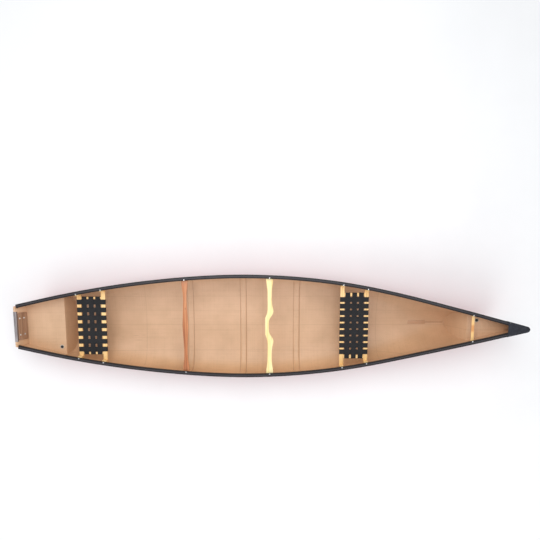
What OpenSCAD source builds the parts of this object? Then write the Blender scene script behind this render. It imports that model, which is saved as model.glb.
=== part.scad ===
// Square-stern touring canoe with two webbed seats, a thwart, a portage yoke and two air tanks.
// Frame: +X to the bow, +Y to port, +Z up. Origin on the ground, under the middle of the length.

/* [Hull] */
// Overall length, from the transom cap to the nose of the bow plate
hull_l = 5184; // [3600:12:6400]
// Overall beam, over the gunwales
beam = 1065; // [850:5:1300]
// Depth amidships, from the gunwale top to the ground
depth = 387; // [320:1:470]
// Thickness of the outer laminate
shell_t = 3; // [2:0.1:4]
// Thickness of the inner aramid laminate
lining_t = 1.7; // [1:0.1:3]
// Height of the gunwale top above the side crease
crease_drop = 157; // [120:1:180]
// How far the crease stands out beyond the top edge amidships
tumblehome = 7; // [0:1:15]
// Length of the rounded part of the stem
stem_l = 454; // [300:2:600]
// Height of the rounded part of the stem
stem_h = 282; // [200:2:340]
// Forward lean of the stem above its rounded part, per unit of height
stem_lean = 0.165; // [0.05:0.005:0.3]
// How much the bottom rises at the transom
stern_rise = 5; // [0:0.5:12]

/* [Ribs] */
// Width of a floor rib
rib_w = 65; // [40:1:90]
// Height of a floor rib above the lining
rib_h = 9; // [5:0.5:15]
// Width of the floor strip ahead of the bow seat
strip_w = 38; // [25:1:60]
// Length of that floor strip
strip_l = 380; // [200:5:500]

/* [Gunwales] */
// Width of a gunwale
rail_w = 37; // [34:0.5:45]
// Height of the gunwale's outer side
rail_h = 28; // [24:0.5:36]
// Distance from the gunwale's outer side to the hull
rail_out = 15.5; // [12:0.5:17]
// Thickness of the gunwale's top and inner wall
rail_t = 2.5; // [2:0.1:3]
// Distance from the gunwale's outer side to the bolts
rail_bolt = 29; // [28:0.5:30]
// Length of the bow plate
plate_l = 206; // [150:2:260]
// Thickness of the bow plate
plate_t = 2.5; // [2:0.1:4]
// Height of the bow plate's side skirt
plate_skirt = 38; // [30:1:50]

/* [Transom] */
// Rake of the transom from upright, in degrees
transom_rake = 17; // [10:0.5:22]
// Thickness of each transom skin
skin_t = 3; // [2:0.1:4]
// Thickness of the plywood core
core_t = 18; // [12:1:24]
// Width of the aluminium cap
cap_w = 311; // [240:1:340]
// Height of the cap's legs
cap_leg = 22; // [15:1:30]
// Thickness of the cap
cap_t = 2.5; // [1.5:0.1:3]
// Width of the inner motor pad
pad_w = 280; // [220:2:300]
// Height of the inner motor pad
pad_h = 120; // [110:1:124]
// Thickness of the inner motor pad
pad_t = 12; // [8:0.5:18]
// Thickness of the outer motor plate
motor_plate_t = 4; // [3:0.5:6]
// Spacing of the transom bolts across the boat
transom_bolt_y = 170; // [120:2:200]
// Distance down the transom from its top to the upper bolts
transom_bolt_a = 40; // [35:1:50]
// Distance between the bolt rows
transom_bolt_row = 62; // [50:1:75]

/* [Tanks] */
// Length of the stern tank deck, measured from the top of the transom
stern_tank_l = 471; // [380:5:560]
// Height of the stern tank deck
stern_tank_z = 260; // [230:2:270]
// Lean of the stern tank's front wall, in degrees
stern_wall_lean = 12; // [5:1:18]
// Length of the bow tank deck, measured from the tip of the bow
bow_tank_l = 545; // [450:5:700]
// Height of the bow tank deck
bow_tank_z = 400; // [360:2:420]
// Lean of the bow tank's rear wall, in degrees
bow_wall_lean = 16; // [8:1:20]
// Thickness of the tank panels
tank_t = 3; // [2:0.1:4]
// Radius of a tank plug
plug_r = 12; // [9:0.5:16]
// Depth of a tank plug below the deck
plug_l = 20; // [14:1:30]

/* [Seats] */
// Width of a seat bar
bar_w = 42; // [34:1:50]
// Thickness of the seat bars, thwart and yoke
bar_t = 20; // [16:1:24]
// Distance between the middles of a seat's two bars
seat_span = 250; // [220:2:290]
// Distance from the stern to the middle of the stern seat
stern_seat_in = 767.5; // [740:0.5:840]
// Distance from the bow to the middle of the bow seat
bow_seat_in = 1691; // [1640:1:1750]
// Drop of the stern seat below the gunwale top
stern_seat_drop = 85; // [75:1:110]
// Drop of the bow seat below the gunwale top
bow_seat_drop = 80; // [75:1:110]
// Width of the stern seat over its rails
stern_seat_w = 603; // [540:1:630]
// Width of the bow seat over its rails
bow_seat_w = 687; // [620:1:720]
// Width of a stern seat rail
stern_rail_w = 21; // [18:1:30]
// Width of a bow seat rail
bow_rail_w = 36; // [25:1:40]
// Width of the webbing
web_w = 51; // [38:1:53]
// Thickness of the webbing
web_t = 2; // [1.2:0.1:2.5]
// Width of a seat hanger along the boat
hanger_w = 40; // [30:1:42]
// Thickness of a seat hanger
hanger_t = 24; // [18:1:30]

/* [Crossbars] */
// Distance from the stern to the thwart
thwart_in = 1745; // [1650:1:1850]
// Distance of the yoke forward of the middle of the boat
yoke_x = 24; // [-60:1:100]
// Distance from the bow to the bow handle
handle_in = 530; // [490:1:590]
// Width of the bow handle
handle_w = 27; // [22:1:35]
// How far aft the middle of the yoke lies
yoke_set = 32; // [15:1:40]

/* [Fasteners] */
// Radius of the seat, thwart and yoke bolts
bolt_r = 3; // [2.5:0.5:3.5]
// Radius of the bow handle's bolts
handle_bolt_r = 2.5; // [2:0.5:3]
// Radius of a bolt head
head_r = 6.5; // [5.5:0.5:7.5]
// Radius of the transom bolts
transom_bolt_r = 4; // [3:0.5:5]

/* [Hidden] */

// Clearance between flat or round pieces that are assembled, and between a piece and the curved lining
fit = 0.3;
lining_gap = 1;
// Thickness of the glue line between the two laminates, and of the whole wall
bond_t = 0.3;
wall_t = shell_t + bond_t + lining_t;
half_l = hull_l / 2;
// Places along the boat of the seats, the thwart and the bow handle
stern_seat_x = stern_seat_in - half_l;
bow_seat_x = half_l - bow_seat_in;
thwart_x = thwart_in - half_l;
handle_x = half_l - handle_in;

// Lines plan: place along the half length, then half beam as a share of the greatest
PLAN = [[-1, 0.42], [-0.82, 0.614], [-0.66, 0.757], [-0.5, 0.868], [-0.3, 0.962], [-0.1, 1],
  [0.1, 0.965], [0.3, 0.857], [0.5, 0.671], [0.75, 0.366], [1, 0.04]];
// Lines plan: place along the half length, then gunwale height as a share of the depth
SHEER = [[-1, 1.047], [-0.77, 1.033], [-0.58, 0.998], [-0.35, 0.982], [0, 1], [0.23, 1.016],
  [0.46, 1.062], [0.57, 1.12], [0.71, 1.269], [0.86, 1.427], [1, 1.545]];
// Lines plan: place along the half length, then how full the bilge is (2 is an ellipse)
BILGE = [[-1, 1.9], [-0.6, 2.6], [-0.2, 3], [0.2, 2.9], [0.6, 2], [0.85, 1.45], [1, 1.35]];

function lerp(a, b, t) = a + (b - a) * t;
function ramp(a, b, x) = let (t = min(1, max(0, (x - a) / (b - a)))) t * t * (3 - 2 * t);
function unit(v) = v / norm(v);

// A smooth curve through a table of [place, value]
function steep(tab, i) = let (a = max(0, i - 1), b = min(len(tab) - 1, i + 1))
  (tab[b][1] - tab[a][1]) / (tab[b][0] - tab[a][0]);
function span_of(tab, x, i = 0) = i >= len(tab) - 2 || x < tab[i + 1][0] ? i : span_of(tab, x, i + 1);
function curve(tab, x) = let (
    i = span_of(tab, x),
    h = tab[i + 1][0] - tab[i][0],
    t = (x - tab[i][0]) / h,
    u = 1 - t)
  (1 + 2 * t) * u * u * tab[i][1] + t * u * u * h * steep(tab, i)
  + t * t * (3 - 2 * t) * tab[i + 1][1] - t * t * u * h * steep(tab, i + 1);

// Gunwale: outer side in plan, its slope, and the height of its top
function rail_y(x) = beam / 2 * curve(PLAN, x / half_l);
function sheer_z(x) = depth * curve(SHEER, x / half_l);
function rail_turn(x) = atan((rail_y(x + 5) - rail_y(x - 5)) / 10);

// Hull top edge, inside the gunwale
function edge_y(x) = rail_y(x) - rail_out / cos(rail_turn(x));
function edge_z(x) = sheer_z(x) - rail_t - fit;

// Stem line
stem_top = half_l - plate_t - fit;
stem_start = stem_top - stem_l - (sheer_z(half_l) - stem_h) * stem_lean;
function stem_x(z) = z < stem_h
  ? stem_start + stem_l * sqrt(1 - pow(1 - z / stem_h, 2))
  : stem_start + stem_l + (z - stem_h) * stem_lean;
function stem_z(x) = x <= stem_start ? 0
  : x < stem_start + stem_l ? stem_h * (1 - sqrt(1 - pow((x - stem_start) / stem_l, 2)))
  : stem_h + (x - stem_start - stem_l) / stem_lean;

// Transom plane: the aft faces of the hull laminates end on it
transom_z = sheer_z(-half_l);
transom_x = -half_l + (skin_t + fit + cap_t) / cos(transom_rake) + (fit + cap_t) * tan(transom_rake);
function transom_at(z) = transom_x + (transom_z - z) * tan(transom_rake);

// Hull section at a place along the boat: bottom, crease and half breadth at a height
function keel_z(x) = x > 0 ? stem_z(x) : stern_rise * (1 - ramp(-half_l + 200, -half_l + 300, x));
function crease_z(x) = sheer_z(x) - min(crease_drop, 0.72 * (sheer_z(x) - keel_z(x)));
function crease_y(x) = let (
    e = edge_y(x),
    side = e + tumblehome,
    flare = e * pow((crease_z(x) - keel_z(x)) / (edge_z(x) - keel_z(x)), 0.6),
    forward = lerp(side, flare, ramp(0.55, 1, x / half_l)))
  lerp(forward, 0.9 * e, ramp(0.75, 1, -x / half_l));
function hull_y(x, z) = let (z0 = keel_z(x), zc = crease_z(x), n = curve(BILGE, x / half_l))
  z <= z0 ? 0
  : z < zc ? crease_y(x) * pow(1 - pow((zc - z) / (zc - z0), n), 1 / n)
  : lerp(crease_y(x), edge_y(x), (z - zc) / (edge_z(x) - zc));
// Half breadth inside the lining, where the side is steep
function inside_y(x, z) = let (
    sx = (hull_y(x + 5, z) - hull_y(x - 5, z)) / 10,
    sz = (hull_y(x, z + 5) - hull_y(x, z - 5)) / 10)
  hull_y(x, z) - wall_t * sqrt(1 + sx * sx + sz * sz) - lining_gap;

// Rows of hull points, keel to crease to top edge, and columns, transom to stem
crease_row = 9;
rows = 12;
stern_cols = 5;
mid_cols = 20;
bow_cols = 9;
cols = stern_cols + mid_cols + bow_cols;
stern_end = -0.8 * half_l;
bow_end = 0.55 * half_l;

// Height of a row at a place along the boat
function row_z(x, j) = let (n = curve(BILGE, x / half_l), zc = crease_z(x))
  j <= crease_row
  ? zc - (zc - keel_z(x)) * pow(cos(90 * j / crease_row), 2 / n)
  : lerp(zc, edge_z(x), (j - crease_row) / (rows - crease_row));
// Height of a row on the stem
stem_crease = edge_z(half_l) - crease_drop;
function stem_row(j) = j <= crease_row
  ? stem_crease * (1 - cos(90 * j / crease_row))
  : lerp(stem_crease, edge_z(stem_top), (j - crease_row) / (rows - crease_row));

function stern_point(s, j, x, n) = let (z = row_z(x, j))
  n == 0 ? [lerp(stern_end, transom_at(z), s), z]
  : stern_point(s, j, lerp(stern_end, transom_at(z), s), n - 1);
function bow_point(s, j) = let (
    x = lerp(bow_end, stem_x(stem_row(j)), s),
    low = row_z(bow_end, j) / crease_z(bow_end),
    high = stem_row(j) / stem_crease,
    z = j <= crease_row ? crease_z(x) * lerp(low, high, s)
      : lerp(crease_z(x), edge_z(x), (j - crease_row) / (rows - crease_row)))
  s == 1 ? [x, 0, stem_row(j)] : let (zz = max(z, keel_z(x))) [x, j == 0 ? 0 : hull_y(x, zz), zz];
function grid(i, j) = i < stern_cols
  ? let (p = stern_point(1 - i / stern_cols, j, stern_end, 5)) [p[0], j == 0 ? 0 : hull_y(p[0], p[1]), p[1]]
  : i <= stern_cols + mid_cols
  ? let (x = lerp(stern_end, bow_end, (i - stern_cols) / mid_cols), z = row_z(x, j)) [x, hull_y(x, z), z]
  : bow_point(1 - pow(1 - (i - stern_cols - mid_cols) / bow_cols, 1.4), j);

GRID = [for (i = [0 : cols]) [for (j = [0 : rows]) grid(i, j)]];
function at(i, j) = j < 0 ? let (p = GRID[i][-j]) [p[0], -p[1], p[2]] : GRID[i][j];

// Inward direction at a hull point
function inward(i, j) = let (
    along = at(min(cols, i + 1), j) - at(max(0, i - 1), j),
    up = at(i, min(rows, j + 1)) - at(i, j - 1))
  -unit(cross(up, along));
// A hull point moved inward by t, kept on the transom plane at the stern and on the middle at the stem
function moved(i, j, t) = let (p = at(i, j), n = inward(i, j))
  i == 0 ? let (
      m = [cos(transom_rake), 0, sin(transom_rake)],
      q = p + t * unit(n - m * (n * m)))
    [q[0], j == 0 ? 0 : q[1], q[2]]
  : i == cols ? let (
      up = unit(at(i, min(rows, j + 1)) - (j == 0 ? at(i - 1, 0) : at(i, j - 1))),
      side = at(i - 1, j)[1],
      reach = norm([norm(p - at(i - 1, j)), side]),
      k = j == 0 ? 1 : min(4, reach / max(side, 0.01)))
    p + k * t * [-up[2], 0, up[0]]
  : [p[0] + t * n[0], j == 0 ? 0 : max(p[1] + t * n[1], p[1] * (1 - 0.12 * t)),
      j == rows ? p[2] : p[2] + t * n[2]];

// Closed skin between two depths below the outer surface
module hull_skin(t0, t1) {
  ring = 2 * rows + 1;
  function flip(p, j) = j < 0 ? [p[0], -p[1], p[2]] : p;
  function ix(layer, i, j) = (layer * (cols + 1) + i) * ring + j + rows;
  points = [for (t = [t0, t1]) for (i = [0 : cols]) for (j = [-rows : rows]) flip(moved(i, abs(j), t), j)];
  function quad(a, b, c, d) = [[a, b, c], [a, c, d]];
  faces = [
    for (i = [0 : cols - 1]) for (j = [-rows : rows - 1]) each concat(
      quad(ix(0, i, j), ix(0, i + 1, j), ix(0, i + 1, j + 1), ix(0, i, j + 1)),
      quad(ix(1, i, j), ix(1, i, j + 1), ix(1, i + 1, j + 1), ix(1, i + 1, j))),
    for (i = [0 : cols - 1]) each concat(
      quad(ix(0, i, rows), ix(0, i + 1, rows), ix(1, i + 1, rows), ix(1, i, rows)),
      quad(ix(1, i, -rows), ix(1, i + 1, -rows), ix(0, i + 1, -rows), ix(0, i, -rows))),
    for (j = [-rows : rows - 1])
      each quad(ix(0, 0, j), ix(0, 0, j + 1), ix(1, 0, j + 1), ix(1, 0, j))];
  polyhedron(points, faces, convexity = 6);
}

module hull_shell() color("#b20019") hull_skin(0, shell_t);
module hull_lining() color("#d7ac90") hull_skin(shell_t + bond_t, wall_t);

// Solid lofted through flat rings of the same number of points
module loft(rings) {
  n = len(rings[0]);
  last = (len(rings) - 1) * n;
  faces = [
    [for (k = [0 : n - 1]) k],
    [for (k = [n - 1 : -1 : 0]) last + k],
    for (i = [0 : len(rings) - 2]) for (k = [0 : n - 1]) let (a = i * n + k, b = i * n + (k + 1) % n)
      each [[a, a + n, b + n], [a, b + n, b]]];
  polyhedron([for (r = rings) each r], faces, convexity = 6);
}
module both_sides() {
  children();
  mirror([0, 1, 0]) children();
}

// Gunwales: one ring at each hull column, so that the slot follows the hull's own top edge
rail_start = -half_l + 25;
rail_end = half_l - 95;
insert_end = half_l - 640;
rail_foot = rail_h - 2;
function rail_places(a, b) = concat([a],
  [for (i = [0 : cols]) let (x = GRID[i][rows][0]) if (x > a + 20 && x < b - 20) x], [b]);
// How far the hull's side stands out for each unit of depth below the top edge
function side_lean(x) = (crease_y(x) - edge_y(x)) / (edge_z(x) - crease_z(x)) * cos(rail_turn(x));
// A point of the gunwale section: d in from its outer side, h above its top
function rail_point(x, d, h) = let (a = rail_turn(x))
  [x + d * sin(a), rail_y(x) - d * cos(a), sheer_z(x) + h];
function slot_shift(x, h) = -side_lean(x) * max(0, -h - rail_t - fit);
function rail_ring(x) = let (
    s = rail_out - fit,
    w = rail_w,
    top = s + slot_shift(x, -rail_t),
    foot = s + min(0, slot_shift(x, -rail_h)) - fit / 2)
  [for (p = [[0, -4], [1.2, -1.2], [4, 0], [w - 4, 0], [w - 1.2, -1.2], [w, -4], [w, -rail_foot],
    [w - rail_t, -rail_foot], [w - rail_t, -rail_t], [top, -rail_t], [foot, -rail_foot],
    [foot - 1.5, -rail_h], [2, -rail_h], [0, -rail_foot]]) rail_point(x, p[0], p[1])];
function insert_ring(x) = let (
    s = rail_out + wall_t + 2 * fit,
    out = rail_w - rail_t - fit,
    top = -rail_t - fit)
  [for (p = [[s + max(0, slot_shift(x, top)), top], [out, top], [out, -rail_foot],
    [s + max(0, slot_shift(x, -rail_foot)), -rail_foot]]) rail_point(x, p[0], p[1])];

// The gunwale's straight stretch at a place: its end places, then the height and slope along it
EDGE_X = [for (i = [0 : cols]) GRID[i][rows][0]];
function stretch(x, i = 0) = i >= cols - 1 || x < EDGE_X[i + 1] ? i : stretch(x, i + 1);
function top_slope(x) = let (i = stretch(x))
  (sheer_z(EDGE_X[i + 1]) - sheer_z(EDGE_X[i])) / (EDGE_X[i + 1] - EDGE_X[i]);
function top_z(x) = let (i = stretch(x)) sheer_z(EDGE_X[i]) + (x - EDGE_X[i]) * top_slope(x);

// Bolts through the gunwales
stern_bolt_x = [stern_seat_x - seat_span / 2, stern_seat_x + seat_span / 2];
bow_bolt_x = [bow_seat_x - seat_span / 2, bow_seat_x + seat_span / 2];
// Forward of the inserts the bolts stand a little further in
function bolt_in(x) = x > insert_end ? rail_bolt + 2.5 : rail_bolt;
function bolt_root(x) = x - bolt_in(x) * sin(rail_turn(x));
function bolt_y(x) = rail_y(bolt_root(x)) - bolt_in(x) * cos(rail_turn(bolt_root(x)));
module at_sheer(x) translate([x, 0, top_z(bolt_root(x))]) rotate([0, -atan(top_slope(x)), 0]) children();
module at_bolt(x) translate([0, bolt_y(x), 0]) at_sheer(x) children();
module bolt_hole(x, r) at_bolt(x) translate([0, 0, -200]) cylinder(r = r + fit, h = 210, $fn = 24);
module rail_holes() {
  for (x = concat(stern_bolt_x, bow_bolt_x, [thwart_x, yoke_x])) bolt_hole(x, bolt_r);
  bolt_hole(handle_x, handle_bolt_r);
}
module gunwale() color("#2c2a2c") difference() {
  loft([for (x = rail_places(rail_start, rail_end)) rail_ring(x)]);
  rail_holes();
  for (x = deck_screw_x) deck_screw_cut(x);
}
module gunwale_insert() color("#9a9a9c") difference() {
  loft([for (x = rail_places(rail_start + 8, insert_end)) insert_ring(x)]);
  rail_holes();
}
module gunwale_port() gunwale();
module gunwale_starboard() mirror([0, 1, 0]) gunwale();
module gunwale_insert_port() gunwale_insert();
module gunwale_insert_starboard() mirror([0, 1, 0]) gunwale_insert();

// A bolt with its head on the gunwale, and its washer and nut below, at a depth below the gunwale top
module rail_bolt_part(x, r, deep) color("silver") both_sides() at_bolt(x) union() {
  translate([0, 0, -deep]) cylinder(r = r, h = deep + 0.5, $fn = 24);
  translate([0, 0, 0.2]) cylinder(r = head_r, h = 1.2, $fn = 32);
  translate([0, 0, 1.3]) cylinder(r1 = head_r, r2 = head_r - 2.5, h = 1.8, $fn = 32);
}
nut_h = 5;
washer_t = 1.2;
module rail_nut_part(x, r, deep, washer_r = head_r + 1) color("silver") both_sides() at_bolt(x)
  translate([0, 0, -deep]) difference() {
    union() {
      translate([0, 0, -washer_t]) cylinder(r = washer_r, h = washer_t, $fn = 32);
      translate([0, 0, -washer_t - nut_h]) cylinder(r = r * 1.8, h = nut_h + 0.1, $fn = 6);
    }
    translate([0, 0, -20]) cylinder(r = r + 0.1, h = 40, $fn = 24);
  }

// Bow plate: upright sides that follow the gunwales, and a crowned top along the sheer
plate_x = half_l - plate_l;
plate_slope = atan((sheer_z(half_l) - sheer_z(plate_x)) / plate_l);
plate_crown = 8;
plate_gap = 0.9;
plate_nose = rail_y(half_l - 26) + fit + plate_t;
plate_arch = (pow(rail_y(plate_x), 2) + pow(plate_crown, 2)) / (2 * plate_crown);
function plate_outline(inset) = let (
    nose_x = half_l - plate_nose,
    side = [for (k = [0 : 8]) let (x = lerp(plate_x - (inset > 0 ? 5 : 0), nose_x, k / 8.5))
      [x, rail_y(x) + fit + plate_t - inset]],
    nose = [for (a = [80 : -10 : -80]) [nose_x, 0] + (plate_nose - inset) * [cos(a), sin(a)]])
  concat(side, nose, [for (k = [8 : -1 : 0]) [side[k][0], -side[k][1]]]);
module along_plate() translate([plate_x, 0, sheer_z(plate_x)]) rotate([0, -plate_slope, 0]) children();
module plate_body(inset, skirt) intersection() {
  translate([0, 0, sheer_z(plate_x) - 100]) linear_extrude(250) polygon(plate_outline(inset));
  along_plate() translate([-60, 0, plate_gap + plate_t + plate_crown - plate_arch]) rotate([0, 90, 0])
    cylinder(r = plate_arch - inset, h = plate_l + 120, $fn = 180);
  along_plate() translate([-80, -200, -skirt]) cube([plate_l + 160, 400, 200]);
}
deck_screw_x = [plate_x + 22, plate_x + 82];
deck_screw_d = 8;
module at_deck_screw(x) translate([x, rail_y(x) - deck_screw_d, sheer_z(x)])
  rotate([0, -plate_slope, 0]) children();
module deck_screw_cut(x) at_deck_screw(x) translate([0, 0, -14]) cylinder(r = 2 + fit, h = 30, $fn = 24);
module bow_deck_plate() color("#2d3039") difference() {
  plate_body(0, plate_skirt);
  plate_body(plate_t, plate_skirt + 20);
  both_sides() for (x = deck_screw_x) {
    deck_screw_cut(x);
    at_deck_screw(x) translate([0, 0, plate_gap + 2.4]) cylinder(r = 4 + fit, h = 30, $fn = 24);
  }
}
module deck_screws() color("silver") both_sides() for (x = deck_screw_x) at_deck_screw(x) {
  translate([0, 0, -13]) cylinder(r = 2, h = plate_gap + 16, $fn = 24);
  translate([0, 0, plate_gap + 2.7]) cylinder(r = 4, h = 2, $fn = 24);
}

module hull_shell() color("#b20019") hull_skin(0, shell_t);
module hull_lining() color("#d7ac90") hull_skin(shell_t + bond_t, wall_t);

// A sloping panel's plane: place and height of its top edge, and its lean
transom_plane = [transom_x, transom_z, transom_rake];
function plane_x(p, z, h) = p[0] + (p[1] - z) * tan(p[2]) + h / cos(p[2]);
function plane_row(p, j, h, x, n) = let (z = row_z(x, j), at_x = plane_x(p, z, h))
  n == 0 ? [(p[1] - z) / cos(p[2]) + h * tan(p[2]), j == 0 ? 0 : hull_y(at_x, z)]
  : plane_row(p, j, h, at_x, n - 1);
// Port half of the hull's outline on a plane h forward of it, moved inward by t
function plane_half(p, h, t) = let (
    pts = [for (j = [0 : rows]) plane_row(p, j, h, p[0], 5)],
    far = len(pts) - 1)
  [for (j = [0 : far]) let (
      d = unit(pts[min(far, j + 1)] - (j == 0 ? [pts[1][0], -pts[1][1]] : pts[j - 1])),
      q = pts[j] + t * [-d[1], d[0]])
    j == 0 ? [pts[0][0] - t, 0] : [q[0], max(q[1], 0.2)]];
module plane_sheet(p, h, t, thick, back = 0) translate([p[0], 0, p[1]]) rotate([0, 90 - p[2], 0])
  translate([0, 0, h - back]) linear_extrude(thick) let (half = plane_half(p, h, t))
    polygon(concat(half, [[-50, half[rows][1]], [-50, -half[rows][1]]],
      [for (j = [rows : -1 : 1]) [half[j][0], -half[j][1]]]));
module on_transom(h) translate([transom_x, 0, transom_z]) rotate([0, 90 - transom_rake, 0])
  translate([0, 0, h]) children();
// Level cut through the transom's top
module level_top() translate([-half_l - 100, -beam / 2, transom_z]) cube([300, beam, 200]);
module transom_holes() on_transom(0) for (y = [-1, 1]) for (k = [0, 1])
  translate([transom_bolt_a + k * transom_bolt_row, y * transom_bolt_y / 2, -60])
    cylinder(r = transom_bolt_r + fit, h = 160, $fn = 32);
core_front = core_t + skin_t;

// Room for the gunwale ends beside the transom's inner layers
module rail_notch() both_sides()
  translate([-half_l - 50, rail_y(rail_start) - rail_w - 4, transom_z - rail_h - 4]) cube([200, 100, 100]);
module transom_skin() color("#b20019") difference() {
  plane_sheet(transom_plane, 0, 0.2, skin_t, skin_t);
  level_top();
  transom_holes();
}
module transom_layer(h, thick) difference() {
  plane_sheet(transom_plane, h, wall_t + lining_gap, thick);
  level_top();
  rail_notch();
  transom_holes();
}
module transom_core() color("#c49a6c") transom_layer(0, core_t);
module transom_lining() color("#d7ac90") transom_layer(core_t, skin_t);

// Aluminium channel over the top of the transom
cap_z = transom_z + fit;
module cap_leg_plate(h) difference() {
  on_transom(h) translate([-60, -cap_w / 2, 0]) cube([60 + cap_leg, cap_w, cap_t]);
  translate([-half_l - 100, -beam / 2, cap_z + cap_t]) cube([300, beam, 200]);
}
module transom_cap() color("#8c7d82") union() {
  cap_leg_plate(-skin_t - fit - cap_t);
  cap_leg_plate(core_front + fit);
  intersection() {
    translate([-half_l - 60, -cap_w / 2, cap_z]) cube([200, cap_w, cap_t]);
    on_transom(-skin_t - fit - cap_t) translate([-60, -cap_w / 2, 0])
      cube([120, cap_w, core_front + skin_t + 2 * (fit + cap_t)]);
  }
}
// Motor plate outside and motor pad inside, just below the cap's legs
pad_top = cap_leg + 1;
module pad_board(h, thick, corner) on_transom(h) difference() {
  translate([pad_top, -pad_w / 2, 0]) cube([pad_h, pad_w, thick]);
  for (y = [-1, 1]) translate([pad_top + pad_h, y * pad_w / 2, -1]) rotate([0, 0, 45])
    cube([corner * sqrt(2), corner * sqrt(2), 2 * thick + 2], center = true);
}
sink_r = 2 * transom_bolt_r;
module transom_bolt_places() for (y = [-1, 1]) for (k = [0, 1])
  translate([transom_bolt_a + k * transom_bolt_row, y * transom_bolt_y / 2, 0]) children();
module motor_plate() color("#3a3c40") difference() {
  pad_board(-skin_t - motor_plate_t, motor_plate_t, 8);
  transom_holes();
  on_transom(-skin_t - motor_plate_t - 0.01) transom_bolt_places()
    cylinder(r1 = sink_r + fit, r2 = transom_bolt_r + fit, h = transom_bolt_r, $fn = 48);
}
module motor_pad() color("#7a4a2a") difference() {
  pad_board(core_front, pad_t, 8);
  transom_holes();
}
pad_front = core_front + pad_t;
module transom_bolts() color("silver") on_transom(-skin_t - motor_plate_t + 0.1) transom_bolt_places() {
  cylinder(r1 = sink_r, r2 = transom_bolt_r, h = transom_bolt_r, $fn = 48);
  cylinder(r = transom_bolt_r, h = pad_front + skin_t + motor_plate_t + 10, $fn = 32);
}
module transom_nuts() color("silver") on_transom(pad_front) transom_bolt_places() difference() {
  union() {
    cylinder(r = 2.4 * transom_bolt_r, h = 1.6, $fn = 32);
    translate([0, 0, 1.5]) cylinder(r = 1.85 * transom_bolt_r, h = 6.5, $fn = 6);
  }
  translate([0, 0, -1]) cylinder(r = transom_bolt_r + 0.1, h = 20, $fn = 32);
}

// Air tanks: a level deck and a leaning wall, bonded to the lining
stern_wall_x = -half_l + stern_tank_l;
bow_wall_x = half_l - bow_tank_l;
bow_deck_end = half_l - 120;
function deck_half(a, b, z) = [for (k = [0 : 10]) let (x = lerp(a, b, k / 10)) [x, inside_y(x, z)]];
module tank_deck(a, b, z) translate([0, 0, z - tank_t]) linear_extrude(tank_t)
  let (half = deck_half(a, b, z - tank_t))
  polygon(concat(half, [for (k = [10 : -1 : 0]) [half[k][0], -half[k][1]]]));
wall_gap = lining_gap + 0.4;
module tank_wall(p) difference() {
  plane_sheet(p, p[2] > 0 ? -tank_t : 0, wall_t + wall_gap, tank_t, p[2] > 0 ? 0 : tank_t);
  translate([p[0] - 300, -beam / 2, p[1]]) cube([600, beam, 400]);
}
stern_plug_at = [-half_l + 424, -231, stern_tank_z];
bow_plug_at = [half_l - 452, 69, bow_tank_z];
sleeve_t = 3;
module plug_hole(at) translate([at[0], at[1], at[2] - 60])
  cylinder(r = plug_r + sleeve_t + fit, h = 120, $fn = 64);
module stern_tank() color("#d7ac90") difference() {
  union() {
    tank_deck(plane_x(transom_plane, stern_tank_z - tank_t, core_front) + fit,
      stern_wall_x - tank_t, stern_tank_z);
    tank_wall([stern_wall_x, stern_tank_z, stern_wall_lean]);
  }
  plug_hole(stern_plug_at);
}
module bow_tank() color("#d7ac90") difference() {
  union() {
    tank_deck(bow_wall_x - tank_t / 2, bow_deck_end, bow_tank_z);
    tank_wall([bow_wall_x, bow_tank_z, -bow_wall_lean]);
  }
  plug_hole(bow_plug_at);
}
flange_t = 2;
module plug_seat(at) color("#e8e4da") translate(at) difference() {
  union() {
    cylinder(r = plug_r + 10, h = flange_t, $fn = 64);
    translate([0, 0, -tank_t - 6]) cylinder(r = plug_r + sleeve_t, h = tank_t + 7, $fn = 64);
  }
  translate([0, 0, -30]) cylinder(r = plug_r + 0.05, h = 60, $fn = 64);
}
module plug(at) color("#1c1c1e") translate(at + [0, 0, flange_t]) union() {
  translate([0, 0, -plug_l]) cylinder(r = plug_r, h = plug_l + 1, $fn = 64);
  translate([0, 0, 0.1]) cylinder(r = plug_r + 2.5, h = 4.5, $fn = 64);
  translate([0, 0, 4.5]) cylinder(r1 = plug_r + 2.5, r2 = plug_r, h = 2.5, $fn = 64);
}
module stern_plug_seat() plug_seat(stern_plug_at);
module bow_plug_seat() plug_seat(bow_plug_at);
module stern_plug() plug(stern_plug_at);
module bow_plug() plug(bow_plug_at);

// Floor ribs: bands that lie on the lining and stop below the gunwale
rib_row = rows - 1;
function on_hull(x, j) = let (z = row_z(x, abs(j)), y = j == 0 ? 0 : hull_y(x, z)) [x, j < 0 ? -y : y, z];
function lifted(x, j, t) = let (
    along = on_hull(x + 5, j) - on_hull(x - 5, j),
    up = on_hull(x, j + 1) - on_hull(x, j - 1))
  on_hull(x, j) - t * unit(cross(up, along));
module rib(x) {
  wide = 2 * rib_row + 1;
  rings = [for (s = [[-1, 2], [-0.7, rib_h], [0.7, rib_h], [1, 2]]) let (xs = x + s[0] * rib_w / 2)
    concat([for (j = [-rib_row : rib_row]) lifted(xs, j, wall_t + lining_gap - 0.1)],
      [for (j = [rib_row : -1 : -rib_row])
        lifted(xs, j, wall_t + lining_gap + (abs(j) == rib_row ? 1.5 : s[1]))])];
  n = 2 * wide;
  last = 3 * n;
  faces = [
    for (i = [0 : 2]) for (k = [0 : n - 1]) let (a = i * n + k, b = i * n + (k + 1) % n)
      each [[a, b, b + n], [a, b + n, a + n]],
    for (k = [0 : wide - 2]) let (m = n - 1 - k) each [
      [k, m, k + 1], [k + 1, m, m - 1],
      [last + k, last + k + 1, last + m], [last + k + 1, last + m - 1, last + m]]];
  polyhedron([for (r = rings) each r], faces, convexity = 6);
}
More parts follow.
